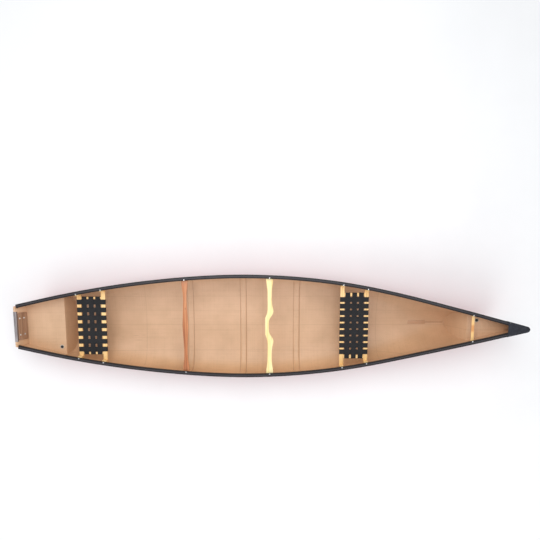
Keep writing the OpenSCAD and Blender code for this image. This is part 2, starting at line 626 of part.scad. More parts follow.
// Ribs: under the thwart, forward of midway to the yoke, and aft of midway from it to the bow seat
rib_x = [thwart_x + 9, (thwart_x + yoke_x) / 2 + 149.5, (yoke_x + bow_seat_x) / 2 - 145.5];
module rib_aft() color("#d0a488") rib(rib_x[0]);
module rib_middle() color("#d0a488") rib(rib_x[1]);
module rib_forward() color("#d0a488") rib(rib_x[2]);
strip_x = half_l - 1052;
strip_lift = strip_w / 2 * max([for (i = [1 : cols - 1]) let (p = GRID[i][1])
  if (p[0] > strip_x - 60 && p[0] < strip_x + strip_l)
    p[2] / p[1] / (p[0] > strip_x + strip_l / 2 ? 3 : 1)]);
module floor_strip() color("#c79d80") translate([strip_x, 0, wall_t + strip_lift + lining_gap]) union() {
  translate([0, -strip_w / 2, 0]) cube([strip_l / 2, strip_w, 2]);
  translate([0, -strip_w / 6, 0]) cube([strip_l, strip_w / 3, 2]);
}

// Inside of the boat in plan at a height, for cutting the ends of the crossbars
bar_gap = 0.5;
function end_y(x, z) = min(inside_y(x, z), inside_y(x, z - bar_t)) - bar_gap;
module inside_plan(x, z, reach) polygon(concat(
  [for (s = [-1, 0, 1]) [x + s * reach, end_y(x + s * reach, z)]],
  [for (s = [1, 0, -1]) [x + s * reach, -end_y(x + s * reach, z)]]));

// Seats. A hanger's outer side stands a little outside its bolt
hanger_out = 6.5;
module seat_bar(x, top, bolt_x) color("#ffcd82") difference() {
  translate([0, 0, top - bar_t]) linear_extrude(bar_t) inside_plan(x, top, bar_w / 2);
  both_sides() bolt_hole(bolt_x, bolt_r);
}
function seat_top(x, drop) = top_z(x) - drop;
module seat_rails(x, top, w, side_w) color("#ffcd82") both_sides()
  translate([x - seat_span / 2 + bar_w / 2, w / 2 - side_w, top - bar_t])
  cube([seat_span - bar_w, side_w, bar_t]);
function hanger_top(x) = min(top_z(x - hanger_w / 2), top_z(x + hanger_w / 2)) - rail_foot - fit;
module seat_hangers(xs, top) color("#e8b878") both_sides() for (x = xs) difference() {
  translate([x, bolt_y(x), top]) rotate([0, 0, rail_turn(x)])
    translate([-hanger_w / 2, hanger_out - hanger_t, 0])
    cube([hanger_w, hanger_t, hanger_top(x) - top]);
  bolt_hole(x, bolt_r);
}
// Band of constant thickness along a path of points
function band(path, t) = let (
    n = len(path) - 1,
    side = [for (i = [0 : n]) let (d = unit(path[min(n, i + 1)] - path[max(0, i - 1)]))
      [-d[1], d[0]] * t / 2])
  concat([for (i = [0 : n]) path[i] + side[i]], [for (i = [n : -1 : 0]) path[i] - side[i]]);
// Path of a strap: round a bar, over and under the crossing straps, and round the far bar
lift = web_t / 2 + fit / 2;
function strap_path(half, bar, down, places, first) = let (
    o = fit + web_t / 2,
    e = half + o,
    left = [[-half + bar * 0.75, -down - o], [-e + 1, -down - o], [-e, -down - o + 1], [-e, o - 1],
      [-e + 1, o], [-half + bar + 1, o]],
    across = [for (i = [0 : len(places) - 1]) each let (s = (i + first) % 2 == 0 ? lift : -lift)
      [[places[i] - web_w / 2 - 2, o + s], [places[i] + web_w / 2 + 2, o + s]]],
    right = [for (i = [5 : -1 : 0]) [-left[i][0], left[i][1]]])
  concat(left, across, right);
edge_room = 8;
cross_pitch = (seat_span - bar_w - web_w) / 2 - edge_room;
function cross_places() = [for (k = [-1, 0, 1]) k * cross_pitch];
function long_places(w, side_w, n) = let (room = w - 2 * (side_w + edge_room) - web_w)
  [for (k = [0 : n - 1]) (k / (n - 1) - 0.5) * room];
module long_webbing(x, top, w, side_w, n) color("#323034")
  let (ys = long_places(w, side_w, n), lift_x = (seat_span + bar_w) / 2)
  for (k = [0 : n - 1]) translate([x, ys[k] + web_w / 2, top]) rotate([90, 0, 0])
    linear_extrude(web_w) polygon(band(strap_path(lift_x, bar_w, bar_t, cross_places(), k), web_t));
module cross_webbing(x, top, w, side_w, n) color("#323034")
  let (ys = long_places(w, side_w, n))
  for (k = [0 : 2]) translate([x + cross_places()[k] + web_w / 2, 0, top]) rotate([90, 0, -90])
    linear_extrude(web_w) polygon(band(strap_path(w / 2, side_w, bar_t, ys, k + 1), web_t));

module stern_seat(part) {
  top = seat_top(stern_seat_x, stern_seat_drop);
  if (part == "front_bar") seat_bar(stern_bolt_x[1], top, stern_bolt_x[1]);
  if (part == "rear_bar") seat_bar(stern_bolt_x[0], top, stern_bolt_x[0]);
  if (part == "rails") seat_rails(stern_seat_x, top, stern_seat_w, stern_rail_w);
  if (part == "hangers") seat_hangers(stern_bolt_x, top);
  if (part == "long_webbing") long_webbing(stern_seat_x, top, stern_seat_w, stern_rail_w, 7);
  if (part == "cross_webbing") cross_webbing(stern_seat_x, top, stern_seat_w, stern_rail_w, 7);
  if (part == "bolts") seat_bolts(stern_bolt_x, top);
  if (part == "nuts") seat_nuts(stern_bolt_x, top);
}
module bow_seat(part) {
  top = seat_top(bow_seat_x, bow_seat_drop);
  if (part == "front_bar") seat_bar(bow_bolt_x[1], top, bow_bolt_x[1]);
  if (part == "rear_bar") seat_bar(bow_bolt_x[0], top, bow_bolt_x[0]);
  if (part == "rails") seat_rails(bow_seat_x, top, bow_seat_w, bow_rail_w);
  if (part == "hangers") seat_hangers(bow_bolt_x, top);
  if (part == "long_webbing") long_webbing(bow_seat_x, top, bow_seat_w, bow_rail_w, 9);
  if (part == "cross_webbing") cross_webbing(bow_seat_x, top, bow_seat_w, bow_rail_w, 9);
  if (part == "bolts") seat_bolts(bow_bolt_x, top);
  if (part == "nuts") seat_nuts(bow_bolt_x, top);
}
// Depth of a nut's seat below the gunwale top, allowing for the lean of its bolt
function nut_depth(x, top) = top_z(x) - top + bar_t + 0.5;
module seat_bolts(xs, top) for (x = xs) rail_bolt_part(x, bolt_r, nut_depth(x, top) + nut_h + 4);
module seat_nuts(xs, top) for (x = xs) rail_nut_part(x, bolt_r, nut_depth(x, top));
module stern_seat_front_bar() stern_seat("front_bar");
module stern_seat_rear_bar() stern_seat("rear_bar");
module stern_seat_rails() stern_seat("rails");
module stern_seat_hangers() stern_seat("hangers");
module stern_seat_long_webbing() stern_seat("long_webbing");
module stern_seat_cross_webbing() stern_seat("cross_webbing");
module stern_seat_bolts() stern_seat("bolts");
module stern_seat_nuts() stern_seat("nuts");
module bow_seat_front_bar() bow_seat("front_bar");
module bow_seat_rear_bar() bow_seat("rear_bar");
module bow_seat_rails() bow_seat("rails");
module bow_seat_hangers() bow_seat("hangers");
module bow_seat_long_webbing() bow_seat("long_webbing");
module bow_seat_cross_webbing() bow_seat("cross_webbing");
module bow_seat_bolts() bow_seat("bolts");
module bow_seat_nuts() bow_seat("nuts");

// Crossbars under the gunwales. Tables: share of the half width, then width, or the shift forward
THWART_W = [[0, 59], [0.28, 46], [0.49, 34], [0.67, 38], [0.84, 60], [1, 63]];
YOKE_W = [[0, 44], [0.13, 46], [0.27, 62], [0.42, 46], [0.55, 42], [0.71, 46], [0.88, 68], [1, 70]];
YOKE_C = [[0, -1], [0.13, -0.85], [0.27, 0.2], [0.42, 0.1], [0.55, 0], [1, 0]];
HANDLE_W = [[0, 0.85], [0.5, 0.9], [0.85, 1], [1, 1]];
function bar_outline(half, wide, shift, n = 36) = concat(
  [for (k = [-n : n]) [curve(shift, abs(k) / n) + curve(wide, abs(k) / n) / 2, k / n * half]],
  [for (k = [n : -1 : -n]) [curve(shift, abs(k) / n) - curve(wide, abs(k) / n) / 2, k / n * half]]);
under_rail = rail_foot + fit;
module crossbar(x, wide, shift, reach, thick, r) difference() {
  intersection() {
    at_sheer(x) translate([0, 0, -under_rail - thick]) linear_extrude(thick)
      polygon(bar_outline(rail_y(x), wide, shift));
    translate([0, 0, top_z(x) - 200]) linear_extrude(300)
      inside_plan(x, top_z(x) - under_rail - (thick - bar_t), reach);
  }
  both_sides() bolt_hole(x, r);
}
handle_t = 16;
NO_SHIFT = [[0, 0], [1, 0]];
module thwart() color("#c9774f") crossbar(thwart_x, THWART_W, NO_SHIFT, 40, bar_t, bolt_r);
module yoke() color("#f5dc92")
  crossbar(yoke_x, YOKE_W, [for (p = YOKE_C) [p[0], p[1] * yoke_set]], 45, bar_t, bolt_r);
module bow_handle() color("#f0c27a") crossbar(handle_x, [for (p = HANDLE_W) [p[0], p[1] * handle_w]],
  NO_SHIFT, 20, handle_t, handle_bolt_r);
module thwart_bolts() rail_bolt_part(thwart_x, bolt_r, under_rail + bar_t + nut_h + 4);
module thwart_nuts() rail_nut_part(thwart_x, bolt_r, under_rail + bar_t + 0.1);
module yoke_bolts() rail_bolt_part(yoke_x, bolt_r, under_rail + bar_t + nut_h + 4);
module yoke_nuts() rail_nut_part(yoke_x, bolt_r, under_rail + bar_t + 0.1);
module handle_bolts() rail_bolt_part(handle_x, handle_bolt_r, under_rail + handle_t + nut_h + 4);
module handle_nuts()
  rail_nut_part(handle_x, handle_bolt_r, under_rail + handle_t + 0.1, 1.8 * handle_bolt_r);

hull_shell();
hull_lining();
rib_aft();
rib_middle();
rib_forward();
floor_strip();
transom_skin();
transom_core();
transom_lining();
transom_cap();
motor_plate();
motor_pad();
transom_bolts();
transom_nuts();
stern_tank();
stern_plug_seat();
stern_plug();
bow_tank();
bow_plug_seat();
bow_plug();
gunwale_port();
gunwale_starboard();
gunwale_insert_port();
gunwale_insert_starboard();
bow_deck_plate();
deck_screws();
stern_seat_front_bar();
stern_seat_rear_bar();
stern_seat_rails();
stern_seat_hangers();
stern_seat_long_webbing();
stern_seat_cross_webbing();
stern_seat_bolts();
stern_seat_nuts();
bow_seat_front_bar();
bow_seat_rear_bar();
bow_seat_rails();
bow_seat_hangers();
bow_seat_long_webbing();
bow_seat_cross_webbing();
bow_seat_bolts();
bow_seat_nuts();
thwart();
thwart_bolts();
thwart_nuts();
yoke();
yoke_bolts();
yoke_nuts();
bow_handle();
handle_bolts();
handle_nuts();
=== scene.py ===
import math
from functools import lru_cache

import bpy
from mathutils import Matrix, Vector


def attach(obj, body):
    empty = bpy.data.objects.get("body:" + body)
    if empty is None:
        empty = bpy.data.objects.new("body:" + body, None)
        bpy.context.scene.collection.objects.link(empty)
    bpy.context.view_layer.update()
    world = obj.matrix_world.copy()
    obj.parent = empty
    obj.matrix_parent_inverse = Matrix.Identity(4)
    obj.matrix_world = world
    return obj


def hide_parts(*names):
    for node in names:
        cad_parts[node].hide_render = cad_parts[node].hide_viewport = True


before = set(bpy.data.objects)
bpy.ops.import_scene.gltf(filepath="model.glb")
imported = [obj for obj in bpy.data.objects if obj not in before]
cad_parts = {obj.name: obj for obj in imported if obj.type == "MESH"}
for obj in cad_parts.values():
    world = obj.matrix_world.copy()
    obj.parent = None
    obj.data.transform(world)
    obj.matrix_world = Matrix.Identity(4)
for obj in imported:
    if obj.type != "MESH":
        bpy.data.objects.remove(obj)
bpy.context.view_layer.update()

# Floor. A pale studio floor that runs far past the boat, matt, with a barely
# visible mottle. It lies a hair below the keel line, so that the two never touch.


def add_node(material, kind, inputs=None, **settings):
    made = material.node_tree.nodes.new("ShaderNode" + kind)
    for name, value in settings.items():
        setattr(made, name, value)
    for key, value in (inputs or {}).items():
        if isinstance(value, bpy.types.NodeSocket):
            material.node_tree.links.new(value, made.inputs[key])
        else:
            made.inputs[key].default_value = value
    return made


def new_material(name, **finish):
    material = bpy.data.materials.new(name)
    material.use_nodes = True
    shader = material.node_tree.nodes["Principled BSDF"]
    for key, value in finish.items():
        shader.inputs[key.replace("_", " ").title().replace("Ior", "IOR")].default_value = value
    return material, shader


def object_place(material):
    return add_node(material, "TexCoord").outputs["Object"]


def noise(material, place, scale, detail=3.0, rough=0.55):
    made = add_node(material, "TexNoise",
                    {"Vector": place, "Scale": scale, "Detail": detail, "Roughness": rough})
    return made.outputs["Fac"]


def colours(material, fac, stops, how="LINEAR"):
    ramp = add_node(material, "ValToRGB", {"Fac": fac})
    ramp.color_ramp.interpolation = how
    points = ramp.color_ramp.elements
    while len(points) < len(stops):
        points.new(0.5)
    for point, (place, colour) in zip(points, stops):
        point.position = place
        point.color = (*colour, 1)
    return ramp.outputs["Color"]


def paint(material, shader, **sockets):
    for key, value in sockets.items():
        material.node_tree.links.new(value, shader.inputs[key.replace("_", " ").title()])


def finish(piece, *materials):
    piece.data.materials.clear()
    for material in materials:
        piece.data.materials.append(material)
    return piece


FLOOR_SIZE, FLOOR_DROP = 60, 0.0004
studio_floor, shader = new_material("studio_floor", roughness=0.9)
mottle = noise(studio_floor, object_place(studio_floor), 1.2)
paint(studio_floor, shader, base_color=colours(
    studio_floor, mottle, [(0.3, (0.87, 0.87, 0.87)), (0.7, (0.90, 0.90, 0.90))]))
bpy.ops.object.select_all(action="DESELECT")
bpy.ops.mesh.primitive_plane_add(size=FLOOR_SIZE)
floor = finish(bpy.context.object, studio_floor)
floor.name = "floor"
for corner in floor.data.vertices:
    corner.co.z = -FLOOR_DROP

# Studio. One very large soft light hangs above the boat, a second fills from the
# port side and a pale room lights the rest. The camera looks down into the boat.
bpy.ops.object.select_all(action="DESELECT")
for name, place, aim, size, power in (
        ("light_top", (-0.5, 1.8, 5.0), (0, 0, 0), 4.5, 150),
        ("light_fill", (2.6, -4.2, 3.2), (0, 0, 0.2), 3.5, 60),
        ("light_back", (-4.5, -2.2, 2.6), (-0.5, 0, 0.2), 2.5, 28)):
    lamp = bpy.data.objects.new(name, bpy.data.lights.new(name, "AREA"))
    bpy.context.collection.objects.link(lamp)
    lamp.location = place
    lamp.rotation_euler = (Vector(aim) - Vector(place)).to_track_quat("-Z", "Y").to_euler()
    lamp.data.size = size
    lamp.data.energy = power
room = bpy.data.worlds.new("room")
bpy.context.scene.world = room
room.use_nodes = True
walls = room.node_tree.nodes["Background"]
walls.inputs["Color"].default_value = (0.95, 0.97, 1.0, 1)
walls.inputs["Strength"].default_value = 0.78
camera = bpy.data.objects.new("camera", bpy.data.cameras.new("camera"))
bpy.context.collection.objects.link(camera)
camera.location = (0.028, 0.74, 5.65)
camera.rotation_euler = (math.radians(-8), 0, 0)
camera.data.lens = 34.5
camera.data.shift_y = 0.105
bpy.context.scene.camera = camera
bpy.context.scene.view_settings.view_transform = "Standard"

# Hull shell. The outside of the boat, a laminate 3 mm thick with a red gelcoat,
# laid up in one mould. Its sides turn in slightly above a soft crease line.
# Lengths in this section and in the lines plan are millimetres.
HALF_L, BEAM, DEPTH = 2592, 1065, 387
SHELL_T, WALL_T = 3, 5
RAIL_OUT, RAIL_T, FIT = 15.5, 2.5, 0.3
PLAN = ((-1, 0.42), (-0.82, 0.614), (-0.66, 0.757), (-0.5, 0.868), (-0.3, 0.962), (-0.1, 1),
        (0.1, 0.965), (0.3, 0.857), (0.5, 0.671), (0.75, 0.366), (1, 0.04))
SHEER = ((-1, 1.047), (-0.77, 1.033), (-0.58, 0.998), (-0.35, 0.982), (0, 1), (0.23, 1.016),
         (0.46, 1.062), (0.57, 1.12), (0.71, 1.269), (0.86, 1.427), (1, 1.545))
BILGE = ((-1, 1.9), (-0.6, 2.6), (-0.2, 3), (0.2, 2.9), (0.6, 2), (0.85, 1.45), (1, 1.35))


def lerp(a, b, t):
    return a + (b - a) * t


def ramp(a, b, x):
    t = min(1, max(0, (x - a) / (b - a)))
    return t * t * (3 - 2 * t)


def through(table, x):
    def slope(i):
        a, b = table[max(0, i - 1)], table[min(len(table) - 1, i + 1)]
        return (b[1] - a[1]) / (b[0] - a[0])
    i = max(k for k in range(len(table) - 1) if k == 0 or x >= table[k][0])
    h = table[i + 1][0] - table[i][0]
    t = (x - table[i][0]) / h
    u = 1 - t
    return ((1 + 2 * t) * u * u * table[i][1] + t * u * u * h * slope(i)
            + t * t * (3 - 2 * t) * table[i + 1][1] - t * t * u * h * slope(i + 1))


def rail_y(x):
    return BEAM / 2 * through(PLAN, x / HALF_L)


def sheer_z(x):
    return DEPTH * through(SHEER, x / HALF_L)


def rail_turn(x):
    return math.atan((rail_y(x + 5) - rail_y(x - 5)) / 10)


def edge_y(x):
    return rail_y(x) - RAIL_OUT / math.cos(rail_turn(x))


def edge_z(x):
    return sheer_z(x) - RAIL_T - FIT


CREASE_DROP, TUMBLEHOME = 157, 7
STERN_RISE, RISE_FROM, RISE_TO = 5, 300, 200
STEM_L, STEM_H, STEM_LEAN = 454, 282, 0.165
PLATE_T = 2.5
STEM_TOP = HALF_L - PLATE_T - FIT
STEM_START = STEM_TOP - STEM_L - (sheer_z(HALF_L) - STEM_H) * STEM_LEAN
RAKE = math.radians(17)
SKIN_T, CAP_T = 3, 2.5
TRANSOM_Z = sheer_z(-HALF_L)
TRANSOM_X = -HALF_L + (SKIN_T + FIT + CAP_T) / math.cos(RAKE) + (FIT + CAP_T) * math.tan(RAKE)


def stem_x(z):
    if z < STEM_H:
        return STEM_START + STEM_L * math.sqrt(max(0, 1 - (1 - z / STEM_H) ** 2))
    return STEM_START + STEM_L + (z - STEM_H) * STEM_LEAN


def keel_z(x):
    if x <= 0:
        return STERN_RISE * (1 - ramp(-HALF_L + RISE_TO, -HALF_L + RISE_FROM, x))
    if x <= STEM_START:
        return 0
    if x < STEM_START + STEM_L:
        return STEM_H * (1 - math.sqrt(1 - ((x - STEM_START) / STEM_L) ** 2))
    return STEM_H + (x - STEM_START - STEM_L) / STEM_LEAN


def transom_at(z):
    return TRANSOM_X + (TRANSOM_Z - z) * math.tan(RAKE)


def crease_z(x):
    return sheer_z(x) - min(CREASE_DROP, 0.72 * (sheer_z(x) - keel_z(x)))


def crease_y(x):
    edge = edge_y(x)
    flare = edge * ((crease_z(x) - keel_z(x)) / (edge_z(x) - keel_z(x))) ** 0.6
    forward = lerp(edge + TUMBLEHOME, flare, ramp(0.55, 1, x / HALF_L))
    return lerp(forward, 0.9 * edge, ramp(0.75, 1, -x / HALF_L))


def hull_y(x, z):
    low, crease, power = keel_z(x), crease_z(x), through(BILGE, x / HALF_L)
    if z <= low:
        return 0
    if z < crease:
        return crease_y(x) * (1 - ((crease - z) / (crease - low)) ** power) ** (1 / power)
    return lerp(crease_y(x), edge_y(x), (z - crease) / (edge_z(x) - crease))


# Rows run from the keel over the crease to the top edge, columns from the transom to the stem.
CREASE_ROW, ROWS = 9, 12
STERN_COLS, MID_COLS, COLS = 5, 20, 34
STERN_END, BOW_END = -0.8 * HALF_L, 0.55 * HALF_L
STEM_CREASE = edge_z(HALF_L) - CREASE_DROP


def row_z(x, j):
    crease = crease_z(x)
    if j > CREASE_ROW:
        return lerp(crease, edge_z(x), (j - CREASE_ROW) / (ROWS - CREASE_ROW))
    low = max(0, math.cos(math.pi / 2 * j / CREASE_ROW))
    return crease - (crease - keel_z(x)) * low ** (2 / through(BILGE, x / HALF_L))


def stem_row(j):
    if j > CREASE_ROW:
        return lerp(STEM_CREASE, edge_z(STEM_TOP), (j - CREASE_ROW) / (ROWS - CREASE_ROW))
    return STEM_CREASE * (1 - math.cos(math.pi / 2 * j / CREASE_ROW))


@lru_cache(maxsize=None)
def hull_point(i, j):
    if j < 0:
        p = hull_point(i, -j)
        return Vector((p.x, -p.y, p.z))
    if i < STERN_COLS:
        x = STERN_END
        for _ in range(6):
            x = lerp(STERN_END, transom_at(row_z(x, j)), 1 - i / STERN_COLS)
        z = row_z(x, j)
    elif i <= STERN_COLS + MID_COLS:
        x = lerp(STERN_END, BOW_END, (i - STERN_COLS) / MID_COLS)
        z = row_z(x, j)
    else:
        s = 1 - max(0, 1 - (i - STERN_COLS - MID_COLS) / (COLS - STERN_COLS - MID_COLS)) ** 1.4
        x = lerp(BOW_END, stem_x(stem_row(j)), s)
        if s == 1:
            return Vector((x, 0, stem_row(j)))
        share = lerp(row_z(BOW_END, j) / crease_z(BOW_END), stem_row(j) / STEM_CREASE, s)
        z = crease_z(x) * share if j <= CREASE_ROW else row_z(x, j)
        z = max(z, keel_z(x))
    return Vector((x, 0 if j == 0 else hull_y(x, z), z))


@lru_cache(maxsize=None)
def inset_point(i, j, t):
    # A hull point moved inward by t, kept on the transom plane and on the middle of the stem
    if j < 0:
        p = inset_point(i, -j, t)
        return Vector((p.x, -p.y, p.z))
    p = hull_point(i, j)
    if t == 0:
        return p
    along = hull_point(min(COLS, i + 1), j) - hull_point(max(0, i - 1), j)
    up = hull_point(i, min(ROWS, j + 1)) - hull_point(i, j - 1)
    n = -up.cross(along).normalized()
    if i == 0:
        across = Vector((math.cos(RAKE), 0, math.sin(RAKE)))
        q = p + t * (n - across * n.dot(across)).normalized()
        return Vector((q.x, 0 if j == 0 else q.y, q.z))
    if i == COLS:
        below = hull_point(i - 1, 0) if j == 0 else hull_point(i, j - 1)
        up = (hull_point(i, min(ROWS, j + 1)) - below).normalized()
        side = hull_point(i - 1, j).y
        reach = math.hypot((p - hull_point(i - 1, j)).length, side)
        k = 1 if j == 0 else min(4, reach / max(side, 0.01))
        return p + k * t * Vector((-up.z, 0, up.x))
    y = max(p.y + t * n.y, p.y * (1 - 0.12 * t))
    return Vector((p.x + t * n.x, 0 if j == 0 else y, p.z if j == ROWS else p.z + t * n.z))


def hull_sheet(name, depth, fine=4, rounding=0.005):
    # A grid laid over the lines plan at a depth below the outer surface, its crease eased
    bpy.ops.object.select_all(action="DESELECT")
    bpy.ops.mesh.primitive_grid_add(x_subdivisions=COLS * fine, y_subdivisions=ROWS * fine, size=2)
    sheet = bpy.context.object
    sheet.name = name
    crease = set()
    for vertex in sheet.data.vertices:
        i, j = round((vertex.co.x + 1) / 2 * COLS, 3), round(vertex.co.y * ROWS, 3)
        if abs(j) == CREASE_ROW:
            crease.add(vertex.index)
        vertex.co = inset_point(i, j, depth) / 1000
    bpy.ops.object.mode_set(mode="EDIT")
    bpy.ops.mesh.select_mode(type="EDGE")
    bpy.ops.mesh.select_all(action="DESELECT")
    bpy.ops.object.mode_set(mode="OBJECT")
    for edge in sheet.data.edges:
        edge.select = edge.vertices[0] in crease and edge.vertices[1] in crease
    bpy.ops.object.mode_set(mode="EDIT")
    bpy.ops.mesh.bevel(offset=rounding, segments=3, affect="EDGES")
    bpy.ops.mesh.select_all(action="SELECT")
    bpy.ops.mesh.remove_doubles(threshold=0.00002)
    bpy.ops.object.mode_set(mode="OBJECT")
    return sheet


def only(piece):
    bpy.ops.object.select_all(action="DESELECT")
    piece.select_set(True)
    bpy.context.view_layer.objects.active = piece
    return piece


def apply_modifier(piece, kind, **settings):
    only(piece)
    added = piece.modifiers.new(kind.title(), kind)
    for key, value in settings.items():
        setattr(added, key, value)
    bpy.ops.object.modifier_apply(modifier=added.name)
    return piece


def smooth(piece, degrees=35):
    only(piece)
    bpy.ops.object.shade_smooth_by_angle(angle=math.radians(degrees))
    return piece


def flip_faces(piece):
    only(piece)
    bpy.ops.object.mode_set(mode="EDIT")
    bpy.ops.mesh.select_all(action="SELECT")
    bpy.ops.mesh.flip_normals()
    bpy.ops.object.mode_set(mode="OBJECT")
    return piece


def on_boat(piece, slot, *nodes, body="hull"):
    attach(piece, body)
    if nodes:
        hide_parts(*nodes)
    return piece


def stretched(material, scale, turn=(0, 0, 0)):
    mapping = add_node(material, "Mapping",
                       {"Vector": object_place(material), "Scale": scale, "Rotation": turn})
    return mapping.outputs["Vector"]


def math_node(material, what, a, b=0.0, c=0.0):
    return add_node(material, "Math", {0: a, 1: b, 2: c}, operation=what).outputs[0]


def levels(material, fac, low, high, to_low=0.0, to_high=1.0):
    made = add_node(material, "MapRange", {"Value": fac, "From Min": low, "From Max": high,
                                           "To Min": to_low, "To Max": to_high})
    return made.outputs["Result"]


def blend_colour(material, fac, a, b, how="MIX"):
    made = add_node(material, "Mix", data_type="RGBA", blend_type=how)
    for key, value in ((0, fac), (6, a), (7, b)):
        if isinstance(value, bpy.types.NodeSocket):
            material.node_tree.links.new(value, made.inputs[key])
        else:
            made.inputs[key].default_value = value if key == 0 else (*value, 1)
    return made.outputs[2]


def bumps(material, shader, heights):
    normal = None
    for fac, depth in heights:
        made = add_node(material, "Bump", {"Height": fac, "Distance": depth, "Strength": 1.0})
        if normal:
            material.node_tree.links.new(normal, made.inputs["Normal"])
        normal = made.outputs["Normal"]
    material.node_tree.links.new(normal, shader.inputs["Normal"])


red_gelcoat, shader = new_material("red_gelcoat", roughness=0.3, coat_weight=0.12,
                                   coat_roughness=0.06, specular_ior_level=0.15)
place = object_place(red_gelcoat)
height = add_node(red_gelcoat, "SeparateXYZ", {"Vector": place}).outputs["Z"]
cloudy = noise(red_gelcoat, place, 2.2)
scratches = levels(red_gelcoat, noise(red_gelcoat, stretched(red_gelcoat, (3, 260, 160)), 1, 4),
                   0.66, 0.74)
low_down = levels(red_gelcoat, height, 0.05, 0.005)
worn = math_node(red_gelcoat, "MULTIPLY", scratches, low_down)
red = colours(red_gelcoat, cloudy, [(0.3, (0.40, 0.0006, 0.006)), (0.7, (0.47, 0.0008, 0.009))])
paint(red_gelcoat, shader, base_color=blend_colour(red_gelcoat, worn, red, (0.46, 0.05, 0.06)),
      roughness=levels(red_gelcoat, worn, 0, 1, 0.22, 0.5))
bumps(red_gelcoat, shader,
      [(noise(red_gelcoat, place, 900, 2), 0.00012), (noise(red_gelcoat, place, 9, 2), 0.0006)])

hull_outer = flip_faces(hull_sheet("hull_outer", 0))
apply_modifier(hull_outer, "SOLIDIFY", thickness=SHELL_T / 1000, offset=-1)
finish(smooth(hull_outer), red_gelcoat)
on_boat(hull_outer, "red_gelcoat", "hull_shell")

# Hull lining. The inside laminate, aramid cloth wetted out with clear resin, so the
# tan weave shows, with a lapped edge where two widths of cloth meet along the bottom.
aramid, shader = new_material("aramid_laminate", roughness=0.42, coat_weight=0.25,
                              coat_roughness=0.3)
place = object_place(aramid)
tint = noise(aramid, place, 3.0, 4)
along = noise(aramid, stretched(aramid, (1.2, 130, 130)), 1, 5, 0.65)
across = noise(aramid, stretched(aramid, (150, 1.6, 1.6)), 1, 5, 0.65)
threads = math_node(aramid, "MULTIPLY_ADD", math_node(aramid, "ADD", along, across), 0.5, 0.0)
base = colours(aramid, tint,
               [(0.28, (0.60, 0.375, 0.225)), (0.5, (0.67, 0.425, 0.26)),
                (0.75, (0.74, 0.475, 0.30))])
streak = colours(aramid, threads,
                 [(0.36, (0.66, 0.62, 0.58)), (0.5, (1, 1, 1)), (0.62, (1.0, 1.0, 0.98))])
cloth = blend_colour(aramid, 0.3, base, streak, "MULTIPLY")
sides = add_node(aramid, "SeparateXYZ", {"Vector": place})
# Painted shade: the port half of the lining is tinted greyer and darker and the starboard half
# warmer, standing in for the port wall lying in shade
port_shade = levels(aramid, sides.outputs["Y"], -0.45, 0.35)
cloth = blend_colour(aramid, 1.0, cloth,
                     colours(aramid, port_shade, [(0, (1.0, 0.97, 0.88)), (1, (0.93, 0.94, 0.97))]),
                     "MULTIPLY")
wander = math_node(aramid, "MULTIPLY_ADD", noise(aramid, place, 5, 2), 0.012, -0.006)
# Lapped edges of the cloth, and four short creases where it was pressed down astern
laps = 0.0
for axis, where, wide in (("X", -1.325, 0.0025), ("X", 1.19, 0.0025), ("X", -0.05, 0.002),
                          ("Y", 0.285, 0.002), ("Y", -0.03, 0.002), ("Y", -0.31, 0.002),
                          ("Y", 0.13, 0.0015)):
    off = math_node(aramid, "ABSOLUTE", math_node(aramid, "ADD", math_node(
        aramid, "SUBTRACT", sides.outputs[axis], where), wander))
    laps = math_node(aramid, "MAXIMUM", laps, levels(aramid, off, wide * 1.6, wide * 0.4))
for x, y, long, turn in ((-1.43, 0.31, 9, 0.2), (-1.36, -0.145, 7, 1.5), (-1.45, -0.15, 8, -0.35),
                         (-1.42, -0.20, 10, 0.15)):
    spot = add_node(aramid, "Mapping",
                    {"Vector": place, "Location": (-x, -y, 0)}).outputs["Vector"]
    spot = add_node(aramid, "Mapping", {"Vector": spot, "Rotation": (0, 0, turn),
                                        "Scale": (1 / long, 1, 0)}).outputs["Vector"]
    far = add_node(aramid, "VectorMath", {0: spot}, operation="LENGTH").outputs["Value"]
    laps = math_node(aramid, "MAXIMUM", laps, levels(aramid, far, 0.006, 0.002))
paint(aramid, shader, base_color=blend_colour(
    aramid, math_node(aramid, "MULTIPLY", laps, 0.35), cloth, (0.40, 0.235, 0.135)))
weave_x = add_node(aramid, "TexWave", {"Vector": place, "Scale": 95.0},
                   bands_direction="X").outputs["Fac"]
weave_y = add_node(aramid, "TexWave", {"Vector": place, "Scale": 95.0},
                   bands_direction="Y").outputs["Fac"]
weave = math_node(aramid, "MULTIPLY", weave_x, weave_y)
bumps(aramid, shader, [(weave, 0.00025), (along, 0.0004), (across, 0.0004),
                       (noise(aramid, place, 14, 3), 0.0012), (laps, 0.0006)])

LINING_T, LINING_LOW = 0.0017, 0.0033
hull_inner = hull_sheet("hull_inner", WALL_T)
apply_modifier(hull_inner, "SOLIDIFY", thickness=LINING_T, offset=-1)
for vertex in hull_inner.data.vertices:
    vertex.co.z = max(vertex.co.z, LINING_LOW)
finish(smooth(hull_inner), aramid)
on_boat(hull_inner, "aramid_laminate", "hull_lining")

# Gunwales. Two aluminium extrusions with a baked black finish, slid over the top edge
# of the hull and bolted through. Two fine grooves run along the top of each.
RAIL_W, RAIL_H = 37, 28
RAIL_CORNER, RAIL_TIP, RAIL_FOOT, GROOVE_IN = 4.2, 1.25, 2.2, 9
RAIL_START, RAIL_END = -HALF_L + 25, HALF_L - 95


